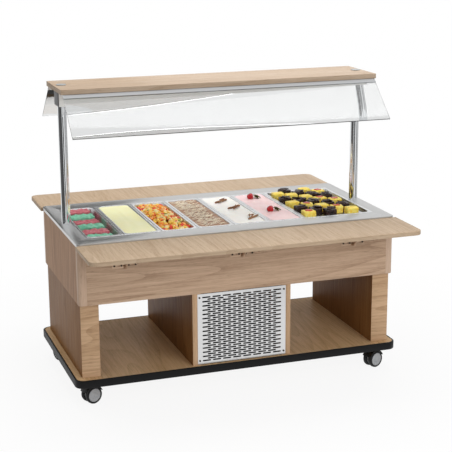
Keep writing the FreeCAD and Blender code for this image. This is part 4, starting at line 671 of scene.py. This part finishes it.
filling("chocolate_mousse", "food_pan_4", mousse, MOUSSE_BELOW_RIM, mousse_surface, (40, 150))
shaving_material = food_material("white chocolate shavings", (255, 246, 226), (244, 224, 196), 120.0, 500.0)
SHAVINGS = 260
SHAVING_HALF_THICKNESS = 0.0006
random.seed(23)
pan = pan_inside("food_pan_4")
solid = bmesh.new()
for shaving in range(SHAVINGS):
    x = random.uniform(-1, 1) * (pan.half_x - 0.020)
    y = random.uniform(-1, 1) * (pan.half_y - 0.022)
    length = random.uniform(0.026, 0.052)
    width = random.uniform(0.0014, 0.0028)
    heading = math.radians(random.gauss(34, 16))
    curl = random.uniform(0.2, 0.9)
    rings = []
    for step in range(7):
        share = step / 6 - 0.5
        bend = heading + curl * share
        middle = Vector((x + math.cos(bend) * length * share, y + math.sin(bend) * length * share, 0))
        lift = 0.0016 + 0.0026 * (1 - (2 * share) ** 2) * curl
        middle.z = pan.rim - MOUSSE_BELOW_RIM + mousse_surface(middle.x, middle.y) + lift
        middle.x += pan.middle_x
        across = Vector((-math.sin(bend), math.cos(bend), 0)) * width / 2 * (1.15 - abs(share))
        up = Vector((0, 0, SHAVING_HALF_THICKNESS))
        corners = (across + up, across - up, -across - up, up - across)
        rings.append([solid.verts.new(middle + corner) for corner in corners])
    skin(solid, rings)
link_piece("white_shavings", finish_mesh("white_shavings", solid), shaving_material, "food_pan_4")

# ==== Pan 5: white cream with cinnamon sticks ====
# Whipped white cream smoothed level, with three small bundles of rolled bark laid on it slantwise.

CREAM_BELOW_RIM = 0.0005
white_cream = food_material("white cream", (255, 253, 248), (252, 246, 238), 14.0, 70.0, 0.001, 0.3)


def whipped(x, y):
    return noise.noise(Vector((x * 22, y * 9, 7.0))) * 0.0016 - 0.0012 + math.sin(y * 44 + x * 30) * 0.0005


filling("white_cream", "food_pan_5", white_cream, CREAM_BELOW_RIM, whipped)
bark = food_material("cinnamon bark", (176, 124, 78), (84, 50, 36), 130.0, 420.0, 0.0016, 1.0, Roughness=0.5)


def stick(solid, start, end, radius, seed):
    """A rough round stick between two points."""
    direction = end - start
    turn = direction.to_track_quat("Z", "Y").to_matrix()
    steps, sides, end_share = 14, 10, 0.72
    rings = []
    for step in range(steps + 1):
        share = step / steps
        swell = radius * (1 + 0.35 * noise.noise(Vector((seed, share * 5, 0))))
        if step in (0, steps):
            swell *= end_share
        ring = []
        for side in range(sides):
            angle = 2 * math.pi * side / sides
            lump = noise.noise(Vector((seed + math.cos(angle) * 2, math.sin(angle) * 2, share * 9)))
            rough = swell * (1 + 0.22 * lump)
            offset = turn @ Vector((math.cos(angle) * rough, math.sin(angle) * rough, 0))
            ring.append(solid.verts.new(start + direction * share + offset))
        rings.append(ring)
    skin(solid, rings)


BUNDLES = ((0.088, 0.160), (0.107, 0.018), (0.110, -0.164))
STICKS = ((34, 0.078, 0.0044), (54, 0.064, 0.0034), (68, 0.048, 0.0026), (20, 0.030, 0.0022))
random.seed(31)
pan = pan_inside("food_pan_5")
solid = bmesh.new()
for bundle_x, bundle_y in BUNDLES:
    for place, (degrees, length, radius) in enumerate(STICKS):
        heading = math.radians(degrees + random.uniform(-6, 6))
        middle = Vector((bundle_x + random.uniform(-0.008, 0.008), bundle_y + random.uniform(-0.012, 0.012),
                         pan.rim + 0.0026 + place * 0.0030))
        reach = Vector((math.cos(heading), math.sin(heading), 0)) * length / 2
        tilt = Vector((0, 0, random.uniform(-0.002, 0.002)))
        stick(solid, middle - reach - tilt, middle + reach + tilt, radius, bundle_y * 50 + place)
link_piece("cinnamon_sticks", finish_mesh("cinnamon_sticks", solid), bark, "food_pan_5")

# ==== Pan 6: strawberry cream ====
# Pink cream smoothed level, with two strawberries on it, each beside a few leaves.

pink_cream = food_material("strawberry cream", (255, 226, 226), (250, 212, 212), 14.0, 70.0, 0.001, 0.3)


def pink_surface(x, y):
    return noise.noise(Vector((x * 18, y * 7, 11.0))) * 0.0015 - 0.0012 + math.sin(y * 38 - x * 26) * 0.0005


filling("strawberry_cream", "food_pan_6", pink_cream, CREAM_BELOW_RIM, pink_surface)
berry_red = food_material("strawberry skin", (196, 26, 34), (160, 14, 26), 90.0, 900.0, 0.0009, 0.9,
                          Roughness=0.22)
leaf_green = food_material("garnish leaves", (112, 104, 56), (78, 82, 42), 140.0, 400.0, 0.0006, 0.5)
BERRY_PROFILE = ((0.0, -0.017), (0.006, -0.0155), (0.0115, -0.009), (0.0145, 0.0), (0.0140, 0.007),
                 (0.0095, 0.012), (0.0, 0.0125))
BERRY_SIDES = 16
LEAF_STEPS = 6
LEAF_SECTION = ((-1, 0.003), (0, 0.0), (1, 0.003), (1, 0.0022), (0, -0.0008), (-1, 0.0022))
pan = pan_inside("food_pan_6")
berries = bmesh.new()
leaves = bmesh.new()
for berry_y in (0.172, -0.085):
    middle = Vector((pan.middle_x - 0.012, berry_y, pan.rim + 0.009))
    lying = Matrix.Rotation(math.radians(78), 3, "Y") @ Matrix.Rotation(math.radians(12), 3, "X")
    rings = []
    for radius, along in BERRY_PROFILE:
        ring = []
        for side in range(BERRY_SIDES):
            angle = 2 * math.pi * side / BERRY_SIDES
            lumpy = radius * (1 + 0.06 * math.sin(3 * angle + berry_y * 40))
            spot = Vector((math.cos(angle) * lumpy, math.sin(angle) * lumpy, along))
            ring.append(berries.verts.new(middle + lying @ spot))
        rings.append(ring)
    for lower, upper in zip(rings, rings[1:]):
        bridge(berries, lower, upper)
    for leaf in range(5):
        heading = math.radians(-60 + leaf * 34)
        length = 0.024 + 0.004 * (leaf % 2)
        root = Vector((pan.middle_x + 0.010, berry_y + 0.004, pan.rim + 0.004 + 0.0015 * leaf))
        outward = Vector((math.cos(heading), math.sin(heading), 0.32))
        across = Vector((-math.sin(heading), math.cos(heading), 0))
        rings = []
        for step in range(LEAF_STEPS + 1):
            share = step / LEAF_STEPS
            half_width = 0.0085 * math.sin(math.pi * min(1.0, share * 0.92 + 0.08)) + 0.0004
            spine = root + outward * length * share - Vector((0, 0, 0.014 * share * share))
            rings.append([leaves.verts.new(spine + across * half_width * side + Vector((0, 0, up)))
                          for side, up in LEAF_SECTION])
        skin(leaves, rings)
bmesh.ops.remove_doubles(berries, verts=berries.verts, dist=1e-6)
link_piece("strawberries", finish_mesh("strawberries", berries), berry_red, "food_pan_6")
link_piece("garnish_leaves", finish_mesh("garnish_leaves", leaves), leaf_green, "food_pan_6")

# ==== Flat tray: small cakes ====
# Slanting rows of small cakes fill the flat tray, one row yellow sponge, the next dark chocolate with
# broken chocolate leaves on it. Some of the yellow ones have a red and orange glaze on top.

CAKES = {
    "yellow": food_material("yellow sponge", (255, 240, 132), (252, 208, 60), 90.0, 600.0, 0.0010, 0.6,
                            Roughness=0.5),
    "dark": food_material("dark chocolate", (58, 34, 26), (20, 11, 9), 70.0, 240.0, 0.0022, 0.9,
                          Roughness=0.24, Subsurface_Weight=0.0, Specular_IOR_Level=0.4),
    "glaze": food_material("fruit glaze", (214, 84, 28), (166, 30, 22), 160.0, 300.0, 0.0008, 0.5,
                           Roughness=0.15),
}
CAKE_SIZE = {"yellow": (0.053, 0.046, 0.035), "dark": (0.053, 0.044, 0.032)}
BROKEN_LEAF, GLAZE_PATCH = (0.040, 0.012, 0.0024), (0.030, 0.026, 0.007)
FIRST_CAKE_X, FIRST_CAKE_Y = 0.369, 0.178
CAKE_STEP_X, CAKE_STEP_Y, CAKE_ROW_STEP = 0.0515, 0.0465, 0.0935
GLAZED = {(4, 0), (4, 1), (2, 3), (0, 3), (0, 4), (-2, 4), (2, 1)}
random.seed(47)
pan = pan_inside("food_tray")
cakes = {kind: bmesh.new() for kind in CAKES}
for row in range(-3, 5):
    kind = "dark" if row % 2 else "yellow"
    for step in range(6):
        x = FIRST_CAKE_X + CAKE_STEP_X * step
        y = FIRST_CAKE_Y - CAKE_ROW_STEP * row - CAKE_STEP_Y * step
        if abs(y) > pan.half_y - 0.026 or x > pan.middle_x + pan.half_x - 0.022:
            continue
        size = tuple(side * random.uniform(0.95, 1.04) for side in CAKE_SIZE[kind])
        middle = Vector((x + random.uniform(-0.002, 0.002), y + random.uniform(-0.003, 0.003),
                         pan.floor + FOOD_OFF_FLOOR + size[2] / 2))
        tilt = 0.0
        if kind == "dark":
            tilt = random.uniform(-0.06, 0.06)
            middle.z += 0.0025
        turn = Matrix.Rotation(random.uniform(-0.16, 0.16), 4, "Z") @ Matrix.Rotation(tilt, 4, "X")
        soft_block(cakes[kind], size, middle, turn, 0.004, row * 7 + step, 0.0016, 8)
        for leaf in range(2 if kind == "dark" else 0):
            lean = Matrix.Rotation(random.uniform(-0.9, 0.2), 4, "Z")
            lean = lean @ Matrix.Rotation(random.uniform(-0.6, 0.6), 4, "X")
            spot = middle + Vector((random.uniform(-0.014, 0.014), -0.010 + 0.018 * leaf,
                                    size[2] / 2 + 0.0028))
            soft_block(cakes["dark"], BROKEN_LEAF, spot, lean, 0.0011, leaf * 5.3 + step, 0.0022, 6)
        if (row, step) in GLAZED:
            top = middle + Vector((0, 0.002, size[2] / 2))
            soft_block(cakes["glaze"], GLAZE_PATCH, top, turn, 0.0028, row + step * 3, 0.003, 6)
for kind, material in CAKES.items():
    link_piece(f"{kind}_cakes", finish_mesh(f"{kind}_cakes", cakes[kind]), material, "food_tray")

# ==== Grilles, screws and condensing unit ====
# The grilles are bright stainless sheets with staggered slots, held by small screws. Behind them stand
# a black compressor, a black-lacquered condenser and a fan in a black-painted shroud.

dress(brushed_material("bright grille steel", (220, 220, 220), 0.3, "X", 0.08),
      "grille_front", "grille_rear", "control_panel")
dress(brushed_material("browned screw steel", (72, 62, 54), 0.5, "Z", 0.25), "panel_screws")
dress(grained_material("black unit enamel", (14, 14, 15), 0.55, Specular_IOR_Level=0.25),
      "compressor", "unit_tray", "fan_shroud", "fan_motor")
dress(brushed_material("lacquered condenser fins", (34, 34, 36), 0.6, "Z", 0.2), "condenser")
dress(grained_material("fan plastic", (18, 18, 19), 0.6), "fan_rotor")

# ==== Control panel ====
# At the back a steel plate holds the thermostat knob, the light switch and the power inlet, all
# moulded in black plastic.

control_plastic = grained_material("control plastic", (30, 30, 32), 0.4)
dress(control_plastic, "control_box", "power_inlet")
eased("thermostat_knob", control_plastic, 0.0008)
eased("light_rocker", control_plastic, 0.0006)

# ==== Tray boards and folding brackets ====
# A board front and rear, with round outer corners and edges banded in the same print, whose grain
# runs across the board. Each rests on three folding steel brackets screwed to the apron.

oak_tray = oak_material("oak tray boards", "Y", "X", "Y", (200, 178, 153), (162, 137, 110), figure=0.2,
                        seed=12.0)
bracket_steel = brushed_material("bronzed bracket steel", (196, 170, 146), 0.6, "X", 0.25)
for side in ("front", "rear"):
    eased(f"tray_board_{side}", oak_tray, 0.0022, 3)
for name in ("bracket_leaves", "board_arms_front", "board_arms_rear", "board_struts_front",
             "board_struts_rear"):
    eased(name, bracket_steel, 0.0004, 1)

# ==== Canopy ====
# Two polished stainless tubes carry the oak-print shelf; a bolt through each tube's top is hidden
# under a flat grey cap.

dress(brushed_material("polished tube steel", (226, 228, 230), 0.07, "Z", 0.03), "canopy_posts")
eased("post_caps", grained_material("grey cap plastic", (166, 168, 168), 0.35, 0.1), 0.0015, 3)
oak_shelf = oak_material("oak canopy shelf", "Y", "X", "X", (197, 178, 158), (165, 141, 117), seed=21.0)
eased("canopy_shelf", oak_shelf, 0.0015, 3)

# ==== Light box ====
# A white folded-steel trough under the shelf, closed by dark grey moulded ends, with a lamp tube
# above an opal sheet that glows softly.

white_paint = grained_material("white powder coat", (248, 248, 246), 0.38, 0.04)
eased("light_box_housing", white_paint, 0.0008)
end_plastic = grained_material("dark grey end plastic", (92, 92, 94), 0.5, 0.12)
eased("light_box_ends", end_plastic, 0.0008)
opal, opal_tree, opal_shader = new_material("glowing opal sheet", Roughness=0.5, Emission_Strength=1.8)
opal_glow = use_effect(opal_tree, speckle, {"Position": object_position(opal_tree), "Variation": 0.04,
                                            "Grains per metre": 700.0, "Colour": paint(244, 246, 246)})
feed(opal_tree, opal_shader, {"Base Color": opal_glow["Colour"], "Emission Color": opal_glow["Colour"]})
dress(opal, "light_diffuser", "lamp_tube")

# ==== Guards ====
# Clear acrylic sheets with polished edges, leaning outwards front and rear. Each stands in a folded
# aluminium clamp under the shelf.


def mix_surface(material, share, second):
    """Mixes the Principled shader of a material with a second one, which shows by the share."""
    tree = material.node_tree
    principled = tree.nodes["Principled BSDF"].outputs[0]
    mixed = add(tree, "MixShader", {0: share, 1: principled, 2: second.outputs[0]})
    tree.links.new(mixed.outputs[0], tree.nodes["Material Output"].inputs["Surface"])


guard_sheet = new_material(
    "clear acrylic", Base_Color=paint(228, 229, 229), Roughness=0.0, IOR=1.49, Transmission_Weight=1.0)[0]
guard_tree = guard_sheet.node_tree
light_path = guard_tree.nodes.new("ShaderNodeLightPath").outputs
soft_rays = calculate(guard_tree, "MAXIMUM", light_path["Is Shadow Ray"], light_path["Is Diffuse Ray"])
mix_surface(guard_sheet, soft_rays, add(guard_tree, "BsdfTransparent", {"Color": paint(244, 246, 246)}))
eased("sneeze_guards", guard_sheet, 0.0006)
dress(brushed_material("satin anodised aluminium", (196, 198, 200), 0.38, "X", 0.1), "guard_clamps")

# ==== Castors ====
# Four twin-wheel furniture castors: a moulded black hood and web that swivels on a pin of a zinc-plated
# plate, and two black wheels, each with a grey moulded disc on its outer face.

dress(brushed_material("zinc-plated steel", (168, 170, 172), 0.42, "X", 0.25), "castor_plates")
hood_plastic = grained_material("castor hood plastic", (16, 16, 17), 0.45, Specular_IOR_Level=0.35)
tyre_plastic = grained_material("castor tyre", (13, 13, 14), 0.6, 0.3, Specular_IOR_Level=0.35)
disc_plastic = grained_material("grey wheel disc", (176, 178, 181), 0.45, 0.25, 1500.0, 0.0004, 0.6)
WHEEL_RADIUS = 0.0375
WHEEL_WIDTH = 0.018
WEB_HALF = 0.0076
TYRE_PROFILE = (
    (0.0047, 0.0), (0.030, 0.0), (0.0352, 0.0008), (0.0368, 0.0026), (WHEEL_RADIUS, 0.006),
    (WHEEL_RADIUS, 0.012), (0.0369, 0.0152), (0.0352, 0.0172), (0.0318, WHEEL_WIDTH), (0.0292, 0.0176),
    (0.0285, 0.0135), (0.0047, 0.0135),
)
DISC_PROFILE = (
    (0.0050, 0.0136), (0.0284, 0.0136), (0.0284, 0.0164), (0.0270, 0.0172), (0.0235, 0.0166),
    (0.0120, 0.0162), (0.0100, 0.0176), (0.0060, 0.0184), (0.0003, 0.0187), (0.0003, 0.0182),
    (0.0050, 0.0181),
)
INNER_DISC_PROFILE = ((0.0050, 0.0), (0.0050, -0.0004), (0.0290, -0.0004), (0.0290, 0.0))
RIB_DEPTH = 0.0012


def turned_ring(solid, profile, centre, axle, side, ribs, steps):
    """Turns a closed profile of (radius, distance from the web) about the axle."""
    up = Vector((0, 0, 1))
    across = axle.cross(up)
    rings = []
    for step in range(steps):
        angle = 2 * math.pi * step / steps
        outward = across * math.cos(angle) + up * math.sin(angle)
        ring = []
        for radius, distance in profile:
            ribbed = ribs and 0.011 < radius < 0.026 and distance > 0.015
            sunk = RIB_DEPTH * (0.5 - 0.5 * math.cos(angle * ribs)) if ribbed else 0.0
            spot = centre + outward * radius + axle * side * (WEB_HALF + distance - sunk)
            ring.append(solid.verts.new(spot))
        rings.append(ring)
    for here, there in zip(rings, rings[1:] + rings[:1]):
        bridge(solid, here, there)


for joint in frame["joints"]:
    if not joint["name"].startswith("wheel_roll_"):
        continue
    corner = joint["name"].replace("wheel_roll_", "")
    centre = Vector(joint["pos_m"])
    axle = Vector(joint["axis"]).normalized()
    for part, profile, ribs, steps, material, replaced in (
            ("tyres", TYRE_PROFILE, 0, 48, tyre_plastic, f"castor_wheels_{corner}"),
            ("inner_discs", INNER_DISC_PROFILE, 0, 48, disc_plastic, None),
            ("discs", DISC_PROFILE, 18, 96, disc_plastic, None)):
        solid = bmesh.new()
        for side in (-1, 1):
            turned_ring(solid, profile, centre, axle, side, ribs, steps)
        name = f"castor_{part}_{corner}"
        mesh = finish_mesh(name, solid)
        piece = link_piece(name, mesh, material, f"wheels_{corner}", replaced)
        piece.data.set_sharp_from_angle(angle=math.radians(50))
    eased(f"castor_housing_{corner}", hood_plastic, 0.0008)

# ==== Studio ====
# A plain pale floor that turns into the white background, soft lamps above and in front, and grey and
# black cards that only reflections see: they streak the polished posts and shade the brushed steel.


def seen_directly(tree):
    """One for rays that show a surface itself, or its mirror image, and nought for soft light."""
    path = tree.nodes.new("ShaderNodeLightPath").outputs
    mirrored = calculate(tree, "MAXIMUM", path["Is Glossy Ray"], path["Is Transmission Ray"])
    return calculate(tree, "MAXIMUM", path["Is Camera Ray"], mirrored)


def stage_sheet(name, corners, material):
    """A flat sheet of the studio, which isn't part of the object."""
    mesh = bpy.data.meshes.new(name)
    mesh.from_pydata(corners, [], [(0, 1, 2, 3)])
    mesh.materials.append(material)
    sheet = bpy.data.objects.new(name, mesh)
    bpy.context.scene.collection.objects.link(sheet)
    return sheet


FLOOR_GREY = (0.82, 0.82, 0.82, 1.0)
floor_material = new_material("studio floor", Base_Color=FLOOR_GREY, Roughness=0.9, Specular_IOR_Level=0.0)[0]
floor_tree = floor_material.node_tree
distance = add(floor_tree, "VectorMath", {0: object_position(floor_tree)}, operation="LENGTH").outputs[1]
paleness = between(floor_tree, distance, 0.7, 1.9, 0.9, 1.0)
white_glow = add(floor_tree, "Emission", {"Color": (1, 1, 1, 1), "Strength": 1.0})
white_share = calculate(floor_tree, "MULTIPLY", seen_directly(floor_tree), paleness)
mix_surface(floor_material, white_share, white_glow)
stage_sheet("studio_floor", [(-30, -30, 0), (30, -30, 0), (30, 30, 0), (-30, 30, 0)], floor_material)

SOFT_LIGHT = 0.4
world = bpy.data.worlds.new("studio world")
bpy.context.scene.world = world
world.use_nodes = True
world_tree = world.node_tree
background = world_tree.nodes["Background"].inputs
background["Color"].default_value = (1, 1, 1, 1)
world_tree.links.new(between(world_tree, seen_directly(world_tree), 0.0, 1.0, SOFT_LIGHT, 1.0),
                     background["Strength"])

for name, place, aim, size, power in (
        ("overhead lamp", (0.1, 0.4, 3.5), (0.0, 0.0, 0.7), (3.2, 2.4), 80.0),
        ("front lamp", (0.9, -4.0, 2.2), (0.1, 0.0, 0.5), (2.6, 2.0), 66.0)):
    lamp_data = bpy.data.lights.new(name, "AREA")
    lamp_data.shape = "RECTANGLE"
    lamp_data.size, lamp_data.size_y = size
    lamp_data.energy = power
    lamp = bpy.data.objects.new(name, lamp_data)
    lamp.visible_glossy = False
    lamp.location = place
    lamp.rotation_euler = (Vector(aim) - Vector(place)).to_track_quat("-Z", "Y").to_euler()
    bpy.context.scene.collection.objects.link(lamp)

for name, tone, (x0, y0), (x1, y1), (bottom, top) in (
        ("card_left_rear", 0.11, (-3.0, 1.6), (-3.3, -1.1), (0.0, 0.9)),
        ("card_left", 0.08, (-3.3, -1.1), (-1.75, -2.6), (0.0, 0.9)),
        ("card_front", 0.015, (-1.3, -3.0), (-0.1, -3.0), (0.0, 0.8)),
        ("card_near", 0.06, (0.42, -1.5), (0.92, -1.4), (0.2, 0.95)),
        ("card_right", 0.28, (1.9, -1.6), (2.8, -0.6), (0.0, 0.9)),
        ("card_right_rear", 0.26, (3.3, 0.2), (2.7, 2.0), (0.0, 0.9)),
        ("card_behind", 0.02, (-1.7, 2.0), (0.15, 2.0), (1.1, 2.4))):
    card_material = new_material(name, Base_Color=(0, 0, 0, 1), Specular_IOR_Level=0.0,
                                 Emission_Color=(tone, tone, tone, 1), Emission_Strength=1.0)[0]
    corners = [(x0, y0, bottom), (x1, y1, bottom), (x1, y1, top), (x0, y0, top)]
    card = stage_sheet(name, corners, card_material)
    card.visible_camera = card.visible_diffuse = card.visible_shadow = card.visible_transmission = False

azimuth, elevation, roll = (math.radians(angle) for angle in (-19.1, 14.4, -0.3))
back = Vector((math.sin(azimuth) * math.cos(elevation), -math.cos(azimuth) * math.cos(elevation),
               math.sin(elevation)))
level_right = Vector((math.cos(azimuth), math.sin(azimuth), 0))
level_up = back.cross(level_right)
right = level_right * math.cos(roll) + level_up * math.sin(roll)
up = level_up * math.cos(roll) - level_right * math.sin(roll)
camera_data = bpy.data.cameras.new("camera")
camera_data.sensor_width = 36
camera_data.lens = 99.3
camera = bpy.data.objects.new("camera", camera_data)
camera.matrix_world = (Matrix.Translation((-1.721, -5.119, 2.028))
                       @ Matrix((right, up, back)).transposed().to_4x4())
bpy.context.scene.collection.objects.link(camera)
bpy.context.scene.camera = camera
bpy.context.scene.view_settings.view_transform = "Standard"
